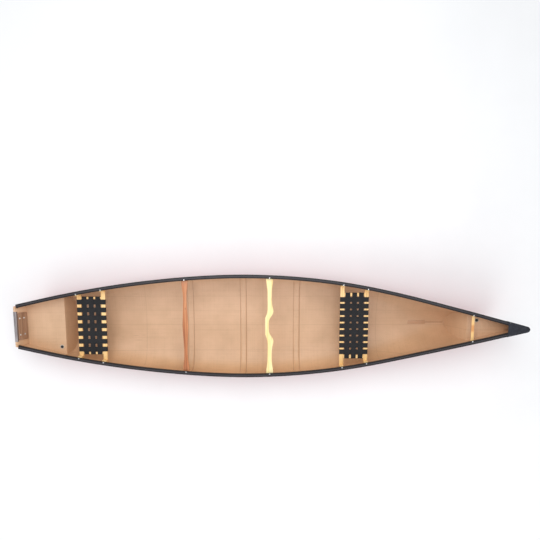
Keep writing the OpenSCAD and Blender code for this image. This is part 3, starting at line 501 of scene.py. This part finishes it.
def loft(name, rings, closed=True, capped=True):
    # A skin over rings of as many points, in millimetres, with a map in metres along and around it
    count, faces = len(rings[0]), []
    turns = count if closed else count - 1
    for i in range(len(rings) - 1):
        for k in range(turns):
            a, b = i * count + k, i * count + (k + 1) % count
            faces.append((a, b, b + count, a + count))
    if capped:
        last = (len(rings) - 1) * count
        faces += [tuple(reversed(range(count))), tuple(range(last, last + count))]
    mesh = bpy.data.meshes.new(name)
    mesh.from_pydata([Vector(p) / 1000 for ring in rings for p in ring], [], faces)
    piece = bpy.data.objects.new(name, mesh)
    bpy.context.collection.objects.link(piece)
    chart = mesh.uv_layers.new(name="along").data
    u, v = [0.0], [0.0]
    for a, b in zip(rings, rings[1:]):
        u.append(u[-1] + (Vector(b[0]) - Vector(a[0])).length / 1000)
    middle = rings[len(rings) // 2]
    for k in range(turns):
        v.append(v[-1] + (Vector(middle[(k + 1) % count]) - Vector(middle[k])).length / 1000)
    for face in mesh.polygons[:(len(rings) - 1) * turns]:
        i, k = divmod(face.index, turns)
        for corner, (di, dk) in zip(face.loop_indices, ((0, 0), (0, 1), (1, 1), (1, 0))):
            chart[corner].uv = (u[i + di], v[k + dk])
    return outward(piece)


def outward(piece):
    only(piece)
    bpy.ops.object.mode_set(mode="EDIT")
    bpy.ops.mesh.select_all(action="SELECT")
    bpy.ops.mesh.normals_make_consistent(inside=False)
    bpy.ops.object.mode_set(mode="OBJECT")
    return piece


def arc(cx, cy, r, start, end, steps):
    return [(cx + r * math.cos(math.radians(lerp(start, end, k / steps))),
             cy + r * math.sin(math.radians(lerp(start, end, k / steps))))
            for k in range(steps + 1)]


def side_lean(x):
    return (crease_y(x) - edge_y(x)) / (edge_z(x) - crease_z(x)) * math.cos(rail_turn(x))


def rail_ring(x, side, shrink=0.0):
    # The extrusion's section at x, its slot leaning with the side of the hull
    slot = RAIL_OUT - FIT
    lean = -side_lean(x) * (RAIL_H - RAIL_T - FIT)
    foot = slot + min(0, lean)
    w = RAIL_W
    groove = [(-1.6, 0), (-1.2, -1.2), (1.2, -1.2), (1.6, 0)]
    outline = (arc(RAIL_CORNER, -RAIL_CORNER, RAIL_CORNER, 180, 90, 5)
               + [(GROOVE_IN + d, h) for d, h in groove] + [(w / 2, 0.25)]
               + [(w - GROOVE_IN + d, h) for d, h in groove]
               + arc(w - RAIL_CORNER, -RAIL_CORNER, RAIL_CORNER, 90, 0, 5)
               + arc(w - RAIL_TIP, -RAIL_H + 3.2, RAIL_TIP, 0, -180, 4)
               + [(w - RAIL_T, -RAIL_T), (slot, -RAIL_T), (foot, -RAIL_H + 2),
                  (foot - 1.5, -RAIL_H)]
               + arc(RAIL_FOOT, -RAIL_H + RAIL_FOOT, RAIL_FOOT, 270, 180, 3))
    turn = rail_turn(x)
    middle = (w / 2, -RAIL_H / 2)
    ring = []
    for d, h in outline:
        d, h = lerp(d, middle[0], shrink), lerp(h, middle[1], shrink)
        ring.append((x + d * math.sin(turn), side * (rail_y(x) - d * math.cos(turn)),
                     sheer_z(x) + h))
    return ring


def strip_map(material):
    # Distances along a loft and around it, in metres
    chart = add_node(material, "UVMap", uv_map="along").outputs["UV"]
    split = add_node(material, "SeparateXYZ", {"Vector": chart})
    return split.outputs["X"], split.outputs["Y"]


def distance_from(material, value, middle):
    return math_node(material, "ABSOLUTE", math_node(material, "SUBTRACT", value, middle))


black_rail, shader = new_material("black_rail", roughness=0.4, specular_ior_level=0.25)
place = object_place(black_rail)
rubbed = levels(black_rail, noise(black_rail, stretched(black_rail, (6, 90, 90)), 1, 4),
                0.56, 0.74)
# Painted highlight: a lighter black is painted along the middle of the rail's top, between the
# grooves, where the rounded top catches the light
CROWN_MIDDLE, CROWN_FADE, CROWN_HALF = 0.0218, 0.0078, 0.0068
crown = levels(black_rail, distance_from(black_rail, strip_map(black_rail)[1], CROWN_MIDDLE),
               CROWN_FADE, CROWN_HALF)
baked_black = colours(black_rail, rubbed,
                      [(0, (0.0125, 0.0105, 0.0115)), (1, (0.026, 0.023, 0.025))])
highlight_black = colours(black_rail, rubbed, [(0, (0.040, 0.037, 0.041)), (1, (0.062, 0.058, 0.064))])
paint(black_rail, shader, base_color=blend_colour(black_rail, crown, baked_black, highlight_black),
      roughness=levels(black_rail, noise(black_rail, place, 30), 0.3, 0.7, 0.28, 0.42))
bumps(black_rail, shader,
      [(noise(black_rail, place, 1500, 2), 0.00006), (noise(black_rail, place, 25, 2), 0.0003)])

RAIL_FINE, END_ROOM = 3, 8
stations = [hull_point(i / RAIL_FINE, ROWS).x for i in range(COLS * RAIL_FINE + 1)]
stations = [x for x in stations if RAIL_START + END_ROOM < x < RAIL_END - END_ROOM]
for name, node, side in (("rail_port", "gunwale_port", 1),
                         ("rail_starboard", "gunwale_starboard", -1)):
    rings = [rail_ring(RAIL_START, side, 0.12), rail_ring(RAIL_START + 1.5, side)]
    rings += [rail_ring(x, side) for x in stations] + [rail_ring(RAIL_END, side)]
    on_boat(finish(smooth(loft(name, rings), 40), black_rail), "black_vinyl", node)

# Inserts. Plain mill-finish aluminium bars that lie hidden inside the gunwales, drilled
# for the bolts that carry the seats, the thwart, the yoke and the handle.
mill_aluminium, shader = new_material("mill_aluminium", roughness=0.35, metallic=1.0)
drawn = noise(mill_aluminium, stretched(mill_aluminium, (4, 700, 700)), 1, 3)
paint(mill_aluminium, shader,
      base_color=colours(mill_aluminium, drawn,
                         [(0.3, (0.52, 0.52, 0.53)), (0.7, (0.68, 0.68, 0.69))]),
      roughness=levels(mill_aluminium, drawn, 0.3, 0.7, 0.28, 0.45))
bumps(mill_aluminium, shader, [(drawn, 0.0001)])
for node in ("gunwale_insert_port", "gunwale_insert_starboard"):
    finish(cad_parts[node], mill_aluminium)

# Bow plate. A black moulded cap over the bow, crowned across its top, with sides that
# turn down over the gunwales. Four small screws hold it.
PLATE_L, PLATE_CROWN, PLATE_GAP, SKIRT, NOSE_IN = 206, 8, 0.9, 38, 26
PLATE_X = HALF_L - PLATE_L
PLATE_NOSE = rail_y(HALF_L - NOSE_IN) + FIT + PLATE_T
PLATE_ARCH = (rail_y(PLATE_X) ** 2 + PLATE_CROWN ** 2) / (2 * PLATE_CROWN)
PLATE_SLOPE = (sheer_z(HALF_L) - sheer_z(PLATE_X)) / PLATE_L


def plate_ring(x, half):
    # The plate's section at x: a skirt, a rounded shoulder and a crowned top
    level = sheer_z(PLATE_X) + (x - PLATE_X) * PLATE_SLOPE
    soft = min(6, 0.7 * half)

    def crown(y):
        arched = math.sqrt(PLATE_ARCH ** 2 - y * y)
        return level + PLATE_GAP + PLATE_T + PLATE_CROWN - PLATE_ARCH + arched
    side = [(half, level - SKIRT), (half, level - SKIRT * 0.5), (half, crown(half) - soft)]
    side += [(half - soft + dy, crown(half) - soft + dz) for dy, dz in arc(0, 0, soft, 20, 80, 4)]
    side += [(share * (half - soft), crown(share * (half - soft))) for share in (0.9, 0.6, 0.3, 0)]
    return [(x, y, z) for y, z in side] + [(x, -y, z) for y, z in reversed(side[:-1])]


nose_x = HALF_L - PLATE_NOSE
rings = [plate_ring(x, rail_y(x) + FIT + PLATE_T)
         for x in [lerp(PLATE_X, nose_x - 4, k / 10) for k in range(11)]]
rings += [plate_ring(nose_x + PLATE_NOSE * math.sin(turn), max(0.4, PLATE_NOSE * math.cos(turn)))
          for turn in [math.radians(a) for a in range(8, 90, 9)]]
bow_plate = loft("bow_plate", rings, closed=False, capped=False)


def moulded(name, mottle, stops, grit, depth, detail=2, **finish_values):
    # A moulded surface, faintly mottled and finely pitted
    material, shader = new_material(name, **finish_values)
    place = object_place(material)
    paint(material, shader, base_color=colours(material, noise(material, place, mottle, 4), stops))
    bumps(material, shader, [(noise(material, place, grit, detail), depth)])
    return material


black_moulding = moulded("black_moulding", 40,
                         [(0.3, (0.013, 0.014, 0.019)), (0.75, (0.032, 0.035, 0.046))],
                         1400, 0.0002, roughness=0.45, specular_ior_level=0.25)
if bow_plate.data.polygons[5].normal.y < 0:
    flip_faces(bow_plate)
apply_modifier(bow_plate, "SOLIDIFY", thickness=PLATE_T / 1000, offset=-1)
finish(smooth(bow_plate, 40), black_moulding)
on_boat(bow_plate, "deck_plate", "bow_deck_plate")

# Floor ribs. Three foam battens under cloth, run up the sides to below the gunwales.
# Their shoulders are soft and their feet feather out on to the lining.
RIB_W, RIB_END, RIB_STEPS = 65, 11, 44


def on_section(x, j):
    z = row_z(x, abs(j))
    y = hull_y(x, z) if j else 0
    return Vector((x, math.copysign(y, j), z))


def above_lining(x, j, height):
    along = on_section(x + 5, j) - on_section(x - 5, j)
    up = on_section(x, j + 1) - on_section(x, j - 1)
    return on_section(x, j) - (WALL_T + height) * up.cross(along).normalized()


RIB_SHAPE = ((-1.16, -0.4), (-1.12, 0.25), (-1, 1.3), (-0.9, 4.2), (-0.8, 7.2), (-0.68, 8.7),
             (-0.5, 9.1), (0, 9.2))
RIB_SHAPE += tuple((-s, h) for s, h in reversed(RIB_SHAPE[:-1]))
taped = aramid.copy()
taped.name = "aramid_over_rib"
shader = taped.node_tree.nodes["Principled BSDF"]
banded = shader.inputs["Base Color"].links[0].from_socket
foot = levels(taped, distance_from(taped, strip_map(taped)[1], 0.0405), 0.030, 0.035)
paint(taped, shader, base_color=blend_colour(taped, math_node(taped, "MULTIPLY", foot, 0.6),
                                             banded, (0.36, 0.21, 0.13)))
for name, x in (("rib_aft", -838), ("rib_middle", -262), ("rib_forward", 317)):
    rings = []
    for k in range(-RIB_STEPS, RIB_STEPS + 1):
        j = k / RIB_STEPS * RIB_END
        low = ramp(0, 0.5, RIB_END - abs(j))
        rings.append([above_lining(x + s * RIB_W / 2, j,
                                   max(h, 0) * lerp(0.12, 1, low) + min(h, 0))
                      for s, h in RIB_SHAPE])
    on_boat(finish(smooth(loft(name + "_band", rings), 60), taped), "aramid_laminate", name)

# Transom. A plywood core glued between the red outer skin and the tan inner one, and
# bonded into the stern of the hull. The edges of both skins are eased.


def eased_copy(name, node, width, steps=3, degrees=30):
    # A CAD node's shape with its sharp edges rounded
    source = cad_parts[node]
    piece = bpy.data.objects.new(name, source.data.copy())
    bpy.context.collection.objects.link(piece)
    only(piece)
    bpy.ops.object.mode_set(mode="EDIT")
    bpy.ops.mesh.select_all(action="SELECT")
    bpy.ops.mesh.remove_doubles(threshold=0.00005)
    bpy.ops.mesh.dissolve_limited(angle_limit=math.radians(2))
    bpy.ops.object.mode_set(mode="OBJECT")
    apply_modifier(piece, "BEVEL", width=width, segments=steps, limit_method="ANGLE",
                   angle_limit=math.radians(degrees),
                   use_clamp_overlap=True)
    return smooth(piece, degrees)


transom_outer = finish(eased_copy("transom_outer", "transom_skin", 0.0022, 4), red_gelcoat)
on_boat(transom_outer, "red_gelcoat", "transom_skin")

plywood, shader = new_material("plywood", roughness=0.6)
plies = add_node(plywood, "TexWave",
                 {"Vector": stretched(plywood, (1, 0.02, 0.02)), "Scale": 55.0, "Distortion": 0.6},
                 bands_direction="X").outputs["Fac"]
paint(plywood, shader,
      base_color=colours(plywood, plies, [(0.35, (0.30, 0.17, 0.08)), (0.6, (0.56, 0.38, 0.2))]))
bumps(plywood, shader, [(plies, 0.0003)])
finish(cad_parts["transom_core"], plywood)
transom_inner = finish(eased_copy("transom_inner", "transom_lining", 0.001, 2), aramid)
on_boat(transom_inner, "aramid_laminate", "transom_lining")

# Transom cap. An aluminium channel pressed over the top edge of the transom, its long
# edges rolled and its brushed face dulled by the weather.
brushed, shader = new_material("brushed_aluminium", roughness=0.38, metallic=1.0)
drawn = noise(brushed, stretched(brushed, (500, 5, 500)), 1, 4)
dull = noise(brushed, object_place(brushed), 14, 4)
paint(brushed, shader,
      base_color=blend_colour(brushed, 0.5,
                              colours(brushed, drawn,
                                      [(0.3, (0.30, 0.265, 0.26)), (0.7, (0.50, 0.455, 0.45))]),
                              colours(brushed, dull,
                                      [(0.3, (0.18, 0.16, 0.165)), (0.7, (0.40, 0.37, 0.38))])),
      roughness=levels(brushed, dull, 0.3, 0.7, 0.3, 0.5))
bumps(brushed, shader, [(drawn, 0.0001)])
CAP_HALF, CAP_LEG, CORE_FRONT = 155.5, 22, 21


def on_transom(h, down, y):
    # A place h forward of the transom's outer plane and so far down it
    return Vector((TRANSOM_X + h * math.cos(RAKE) + down * math.sin(RAKE), y,
                   TRANSOM_Z + h * math.sin(RAKE) - down * math.cos(RAKE)))


def channel_ring(y, shrink):
    out, within = -SKIN_T - FIT - CAP_T, CORE_FRONT + FIT + CAP_T
    top = TRANSOM_Z + FIT + CAP_T
    legs = [on_transom(h, CAP_LEG + drop, 0) for h, drop in (
        (out, -1), (out + 0.8, 0.2), (out + CAP_T - 0.5, 0.2), (out + CAP_T, -1))]
    inner = [on_transom(h, CAP_LEG + drop, 0) for h, drop in (
        (within - CAP_T, -1), (within - CAP_T + 0.5, 0.2), (within - 0.8, 0.2), (within, -1))]
    aft = on_transom(out, 0, 0).x - CAP_T * math.tan(RAKE) + 0.6
    fore = on_transom(within, 6, 0).x - 1
    outline = [(p.x, p.z) for p in legs] + [(on_transom(out + CAP_T, 0, 0).x, top - CAP_T)]
    outline += [(fore - CAP_T, top - CAP_T)] + [(p.x, p.z) for p in inner]
    outline += [(fore + 1.0, top - 6)] + arc(fore - 2.2, top - 3, 3, 10, 90, 4)
    for middle in (lerp(aft, fore, 0.68), lerp(aft, fore, 0.36)):
        outline += [(middle + 1.6, top), (middle + 0.9, top - 1.1), (middle - 0.9, top - 1.1),
                    (middle - 1.6, top)]
    outline += arc(aft + 3, top - 3, 3, 90, 165, 4)
    middle = Vector((sum(p[0] for p in outline) / len(outline), 0,
                     sum(p[1] for p in outline) / len(outline)))
    return [Vector((x, y, z)).lerp(Vector((middle.x, y, middle.z)), shrink) for x, z in outline]


rings = [channel_ring(y, shrink) for y, shrink in (
    (-CAP_HALF, 0.03), (-CAP_HALF + 0.8, 0), (0, 0), (CAP_HALF - 0.8, 0), (CAP_HALF, 0.03))]
on_boat(finish(smooth(loft("transom_channel", rings), 30), brushed), "aluminium", "transom_cap")

# Transom corners. Thickened resin and cloth built up over the ends of the transom,
# from the channel out to the gunwales, and sanded round.


def join(name, pieces):
    bpy.ops.object.select_all(action="DESELECT")
    for piece in pieces:
        piece.select_set(True)
    bpy.context.view_layer.objects.active = pieces[0]
    bpy.ops.object.join()
    pieces[0].name = name
    return pieces[0]


def corner_ring(y, front, deep, shrink):
    outline = (arc(-SKIN_T + 2.4, 0.2, 3, 180, 270, 4) + arc(front - 3, 0.2, 3, 270, 360, 4)
               + [(front, deep), (-SKIN_T - 0.6, deep)])
    h0, d0 = (front - SKIN_T) / 2, deep / 2
    return [on_transom(lerp(h, h0, shrink), lerp(d, d0, shrink), y) for h, d in outline]


for name, side in (("transom_corner_port", 1), ("transom_corner_starboard", -1)):
    inner = [corner_ring(side * y, CORE_FRONT + 0.8, 9, shrink)
             for y, shrink in ((156.2, 0.08), (157.5, 0), (170, 0), (184, 0))]
    outer = [corner_ring(side * y, 16.5, 30, shrink)
             for y, shrink in ((180, 0), (195, 0), (205, 0.0), (208.2, 0.05), (209.6, 0.16))]
    block = join(name, [loft("corner", inner), loft("corner", outer)])
    on_boat(finish(smooth(block, 50), aramid), "aramid_laminate")

# Motor plate and motor pad. A dark plate outside and a varnished hardwood board inside
# take the clamp of a small motor. Four bolts go through both.
motor_board, shader = new_material("motor_board", roughness=0.5, coat_weight=0.2,
                                   coat_roughness=0.3)
grain = noise(motor_board, stretched(motor_board, (40, 3.5, 60)), 1, 6, 0.7)
paint(motor_board, shader, base_color=colours(
    motor_board, grain,
    [(0.3, (0.20, 0.10, 0.055)), (0.5, (0.31, 0.165, 0.095)), (0.7, (0.41, 0.245, 0.15))]))
bumps(motor_board, shader, [(grain, 0.0006)])
on_boat(finish(eased_copy("motor_pad_board", "motor_pad", 0.0025, 3), motor_board), "brown_board",
        "motor_pad")
on_boat(finish(eased_copy("motor_plate_outer", "motor_plate", 0.0008, 2), black_moulding),
        "black_plate", "motor_plate")

# Bolts, screws and nuts. Stainless steel, turned and tumbled bright. The bolts pass
# through the gunwales and the wood, with their nuts below.
stainless, shader = new_material("stainless", roughness=0.25, metallic=1.0)
place = object_place(stainless)
paint(stainless, shader,
      base_color=colours(stainless, noise(stainless, place, 90),
                         [(0.3, (0.62, 0.61, 0.60)), (0.7, (0.78, 0.77, 0.76))]),
      roughness=levels(stainless, noise(stainless, place, 600), 0.3, 0.7, 0.18, 0.36))
bumps(stainless, shader, [(noise(stainless, place, 2500, 1), 0.00005)])
for node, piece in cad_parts.items():
    if "bolts" in node or "nuts" in node or "screws" in node:
        finish(piece, stainless)

# Air tanks. Tan laminate decks with a leaning wall at each end of the boat, their rims
# rounded and taped to the lining with a bead of the same cloth.


def beside_lining(x, z):
    # A place on the lining's inner side, where a deck at height z meets it
    sx = (hull_y(x + 5, z) - hull_y(x - 5, z)) / 10
    sz = (hull_y(x, z + 5) - hull_y(x, z - 5)) / 10
    return Vector((x, hull_y(x, z) - (WALL_T + 1) * math.sqrt(1 + sx * sx + sz * sz), z))


def wall_joint(wall_x, deck_z, lean):
    # Where a leaning wall meets the lining, from the deck's edge down to the keel
    joint, j = [], ROWS
    while j >= 0:
        x = wall_x
        for _ in range(6):
            x = wall_x + (deck_z - row_z(x, j)) * math.tan(math.radians(lean))
        if row_z(x, j) < deck_z - 4:
            joint.append(above_lining(x, j, 1))
        j -= 0.25
    return joint


def bead(name, points, radius):
    line = bpy.data.curves.new(name, "CURVE")
    line.dimensions = "3D"
    line.bevel_depth = radius / 1000
    line.bevel_resolution = 3
    line.use_fill_caps = True
    spline = line.splines.new("POLY")
    spline.points.add(len(points) - 1)
    for point, place in zip(spline.points, points):
        point.co = (*(Vector(place) / 1000), 1)
    piece = bpy.data.objects.new(name, line)
    bpy.context.collection.objects.link(piece)
    only(piece)
    bpy.ops.object.convert(target="MESH")
    return smooth(bpy.context.object, 60)


BEAD_R, DECK_STEPS = 3.6, 16
for end, wall_x, deck_z, lean, deck_from, deck_to in (
        ("stern", -2121, 260, 12, -2524, -2124), ("bow", 2047, 400, -16, 2440, 2049)):
    on_boat(finish(eased_copy(end + "_tank_laminate", end + "_tank", 0.006, 4, 25), aramid),
            "aramid_laminate", end + "_tank")
    half = [beside_lining(lerp(deck_from, deck_to, k / DECK_STEPS), deck_z - 1)
            for k in range(DECK_STEPS + 1)]
    half += wall_joint(wall_x, deck_z, lean)
    seam = half + [Vector((p.x, -p.y, p.z)) for p in reversed(half[:-1])]
    if end == "stern":
        seam.append(half[0])
    on_boat(finish(bead(end + "_tank_fillet", seam, BEAD_R), aramid), "aramid_laminate")

# Drain plugs. Soft black rubber plugs, one at each end, pushed into white moulded collars
# that are let into the tank decks. Each pulls straight up.
white_moulding = moulded("white_moulding", 60,
                         [(0.3, (0.50, 0.43, 0.35)), (0.7, (0.60, 0.53, 0.44))],
                         1500, 0.0001, roughness=0.4)
rubber = moulded("black_rubber", 70, [(0.3, (0.012, 0.012, 0.013)), (0.7, (0.032, 0.031, 0.033))],
                 1800, 0.0002, detail=3, roughness=0.62)
for end in ("stern", "bow"):
    on_boat(finish(eased_copy(end + "_collar", end + "_plug_seat", 0.0009, 3), white_moulding),
            "white_plastic", end + "_plug_seat")
    on_boat(finish(eased_copy(end + "_stopper", end + "_plug", 0.0009, 3), rubber),
            "black_rubber", end + "_plug", body=end + "_plug")

# Floor strip. A narrow doubler of the same laminate bonded along the bottom ahead of
# the bow seat, where feet rest.
doubler = aramid.copy()
doubler.name = "aramid_doubler"
shader = doubler.node_tree.nodes["Principled BSDF"]
single = shader.inputs["Base Color"].links[0].from_socket
paint(doubler, shader,
      base_color=blend_colour(doubler, 1.0, single, (0.84, 0.76, 0.72), "MULTIPLY"))
on_boat(finish(eased_copy("floor_doubler", "floor_strip", 0.0008, 3), doubler), "aramid_laminate",
        "floor_strip")

# Wooden parts. Planed hardwood with well rounded edges, rubbed down and varnished. The
# grain runs along each piece.


def wood(name, along, stops, shine=0.35, tight=1.0):
    material, shader = new_material(name, roughness=0.42, coat_weight=shine, coat_roughness=0.18)
    fine = [(2.2 if axis == along else 85 * tight) for axis in "XYZ"]
    broad = [(0.9 if axis == along else 22 * tight) for axis in "XYZ"]
    pores = noise(material, stretched(material, [3 * f for f in fine]), 1, 3)
    figure = noise(material, stretched(material, broad), 1, 5, 0.6)
    lines = noise(material, stretched(material, fine), 1, 4, 0.6)
    mix = math_node(material, "MULTIPLY_ADD", lines, 0.5,
                    math_node(material, "MULTIPLY", figure, 0.5))
    colour = colours(material, mix, stops)
    dark = colours(material, pores, [(0.30, (0.72, 0.66, 0.6)), (0.42, (1, 1, 1))])
    colour = blend_colour(material, 0.7, colour, dark, "MULTIPLY")
    paint(material, shader, base_color=colour,
          roughness=levels(material, lines, 0.3, 0.7, 0.34, 0.5))
    bumps(material, shader, [(lines, 0.0002), (pores, 0.0001)])
    return material, shader, colour


ASH = ((0.34, (0.62, 0.34, 0.12)), (0.48, (0.86, 0.54, 0.21)), (0.62, (0.93, 0.64, 0.29)))
ash_across = wood("ash_across", "Y", ASH)[0]
ash_fore_aft = wood("ash_fore_aft", "X", ASH)[0]
ash_upright = wood("ash_upright", "Z", ASH)[0]

# Seats. Each has two crossbars, two side rails set between them, and four blocks that
# hang it from the gunwales on long bolts.
BAR_W, BAR_T, SEAT_SPAN = 42, 20, 250
for seat in ("stern_seat", "bow_seat"):
    for part, material in (("front_bar", ash_across), ("rear_bar", ash_across),
                           ("rails", ash_fore_aft), ("hangers", ash_upright)):
        piece = eased_copy(seat + "_ash_" + part, seat + "_" + part, 0.0028, 3)
        on_boat(finish(piece, material), "ash", seat + "_" + part)

# Seat webbing. Woven black straps 51 mm wide, laced over and under, drawn round the
# bars and rails and stapled beneath. They sag a little at the middle.
WEB_W, WEB_T, EDGE_ROOM, SAG, CROSSING = 51, 2, 8, 5, 22
STRAP_EDGE = ((0, 0), (0.35, 0.62), (1.3, 1.0), (2.6, 0.98), (3.6, 0.72), (6, 0.78), (14, 0.82),
              (WEB_W / 2, 0.84))
STRAP_EDGE += tuple((WEB_W - d, h) for d, h in reversed(STRAP_EDGE[:-1]))
STRAP_SHAPE = [(d - WEB_W / 2, h) for d, h in STRAP_EDGE]
STRAP_SHAPE += [(WEB_W / 2 - d, -h) for d, h in STRAP_EDGE[1:-1]]

webbing, shader = new_material("black_webbing", roughness=0.62, sheen_weight=0.06,
                               sheen_roughness=0.4, specular_ior_level=0.25)
u, v = strip_map(webbing)


def ridges(material, place, pitch, shift=0.0):
    angle = math_node(material, "MULTIPLY_ADD", place, 2 * math.pi / pitch, shift)
    return math_node(material, "MULTIPLY_ADD", math_node(material, "SINE", angle), 0.5, 0.5)


CHEVRON_W, CHEVRON_SLANT, TWILL_PITCH, RIDGE_PITCH = 0.012, 0.010, 0.0022, 0.0016
chevron = distance_from(webbing, math_node(
    webbing, "FRACT", math_node(webbing, "MULTIPLY", v, 1 / CHEVRON_W)), 0.5)
slanted = math_node(webbing, "MULTIPLY_ADD", chevron, CHEVRON_SLANT, u)
twill = ridges(webbing, slanted, TWILL_PITCH)
ribs = ridges(webbing, v, RIDGE_PITCH)
thread = math_node(webbing, "MULTIPLY", twill, math_node(webbing, "MULTIPLY_ADD", ribs, 0.6, 0.4))
faded = noise(webbing, object_place(webbing), 18, 4)
tone = math_node(webbing, "MULTIPLY_ADD", thread, 0.65,
                 math_node(webbing, "MULTIPLY", faded, 0.35))
paint(webbing, shader, base_color=colours(
    webbing, tone,
    [(0.15, (0.006, 0.006, 0.0065)), (0.5, (0.015, 0.0145, 0.016)),
     (0.85, (0.035, 0.034, 0.038))]))
bumps(webbing, shader, [(thread, 0.0005)])


def top_z(x):
    # Height of the gunwale's straight stretch over a bolt
    places = [hull_point(i, ROWS).x for i in range(COLS + 1)]
    i = max(k for k in range(COLS) if k == 0 or x >= places[k])
    a, b = places[i], places[i + 1]
    return lerp(sheer_z(a), sheer_z(b), (x - a) / (b - a))


def strap_path(half, bar, places, first, dip):
    # Round one bar, over and under the crossing straps, and round the other bar
    proud, radius = FIT + WEB_T / 2, 2.6
    r = radius + proud
    left = [(-half + bar * 0.75, -BAR_T - proud), (-half + bar * 0.5, -BAR_T - proud)]
    left += [(-half + radius + dx, -BAR_T + radius + dz) for dx, dz in arc(0, 0, r, 270, 180, 5)]
    left += [(-half + radius + dx, -radius + dz) for dx, dz in arc(0, 0, r, 180, 90, 5)]
    left += [(-half + bar * 0.6, proud)]
    inner, lift = half - bar, WEB_T / 2 + FIT / 2
    marks = [(place, lift if (k + first) % 2 == 0 else -lift) for k, place in enumerate(places)]
    marks = [(-inner, 0), *marks, (inner, 0)]
    middle = []
    for (a, fa), (b, fb) in zip(marks, marks[1:]):
        for k in range(8):
            s = a + (b - a) * k / 8
            near = a if fa == 0 else a + CROSSING
            far = b if fb == 0 else b - CROSSING
            lifted = proud + lerp(fa, fb, ramp(near, far, s))
            middle.append((s, lifted - dip * (1 - (s / inner) ** 2)))
    right = [(-s, z) for s, z in reversed(left)]
    return left + middle + [(inner, proud)] + right


def strap(name, path, place):
    # The strap's cross-section carried along its path, square to it
    rings = []
    for k, (s, z) in enumerate(path):
        a, b = path[max(0, k - 1)], path[min(len(path) - 1, k + 1)]
        run = Vector((b[0] - a[0], b[1] - a[1])).normalized()
        rings.append([place(s - run.y * h, d, z + run.x * h) for d, h in STRAP_SHAPE])
    return loft(name, rings)


def sag(place, reach):
    return SAG * max(0, 1 - (place / reach) ** 2)


for seat, middle_x, drop, width, rail, count in (("stern_seat", -1824.5, 85, 603, 21, 7),
                                                 ("bow_seat", 901, 80, 687, 36, 9)):
    top = top_z(middle_x) - drop
    room = width - 2 * (rail + EDGE_ROOM) - WEB_W
    pitch = (SEAT_SPAN - BAR_W - WEB_W) / 2 - EDGE_ROOM
    across = [(k / (count - 1) - 0.5) * room for k in range(count)]
    along = [-pitch, 0, pitch]
    straps = []
    for k, y in enumerate(across):
        path = strap_path((SEAT_SPAN + BAR_W) / 2, BAR_W, along, k, sag(y, width / 2 - rail))
        straps.append(strap("strap", path, lambda s, d, z, y=y: (middle_x + s, y + d, top + z)))
    woven = smooth(join(seat + "_long_straps", straps), 50)
    on_boat(finish(woven, webbing), "black_webbing", seat + "_long_webbing")
    straps = []
    for k, x in enumerate(along):
        path = strap_path(width / 2, rail, across, k + 1, sag(x, (SEAT_SPAN - BAR_W) / 2))
        straps.append(strap("strap", path, lambda s, d, z, x=x: (middle_x + x + d, s, top + z)))
    woven = smooth(join(seat + "_cross_straps", straps), 50)
    on_boat(finish(woven, webbing), "black_webbing", seat + "_cross_webbing")

# Thwart. A cherry crossbar, waisted either side of its middle, under the gunwales. Its
# figure is streaky, with one small knot.
CHERRY = ((0.34, (0.15, 0.038, 0.011)), (0.46, (0.36, 0.112, 0.034)),
          (0.54, (0.50, 0.178, 0.06)), (0.66, (0.66, 0.29, 0.115)))
cherry, shader, colour = wood("cherry", "Y", CHERRY, tight=0.8)
from_knot = add_node(cherry, "VectorMath", {
    0: stretched(cherry, (1, 0.55, 1)), 1: (-0.843, 0.10, 0.351)}, operation="DISTANCE")
knot = levels(cherry, from_knot.outputs["Value"], 0.008, 0.002, 0.0, 0.7)
paint(cherry, shader, base_color=blend_colour(cherry, knot, colour, (0.15, 0.045, 0.018)))
on_boat(finish(eased_copy("thwart_cherry", "thwart", 0.0045, 4), cherry), "cherry", "thwart")

# Yoke. A pale ash carrying yoke, shaped to sit on the shoulders with a hollow for the
# neck, bolted under the gunwales amidships.
PALE_ASH = ((0.34, (0.72, 0.44, 0.12)), (0.48, (0.90, 0.69, 0.29)), (0.62, (0.96, 0.81, 0.43)))
pale_ash = wood("pale_ash", "Y", PALE_ASH, tight=0.7)[0]
on_boat(finish(eased_copy("yoke_ash", "yoke", 0.0045, 4), pale_ash), "ash", "yoke")

# Bow handle. A slim ash bar to carry the bow by, bolted under the gunwales, its middle
# darkened to orange by hands.
handled, shader, colour = wood("ash_handled", "Y", ASH)
out_from_middle = math_node(handled, "ABSOLUTE", add_node(
    handled, "SeparateXYZ", {"Vector": object_place(handled)}).outputs["Y"])
grip = levels(handled, out_from_middle, 0.045, 0.02)
paint(handled, shader, base_color=blend_colour(handled, math_node(handled, "MULTIPLY", grip, 0.75),
                                               colour, (0.62, 0.22, 0.05)))
on_boat(finish(eased_copy("handle_ash", "bow_handle", 0.0035, 4), handled), "ash", "bow_handle")
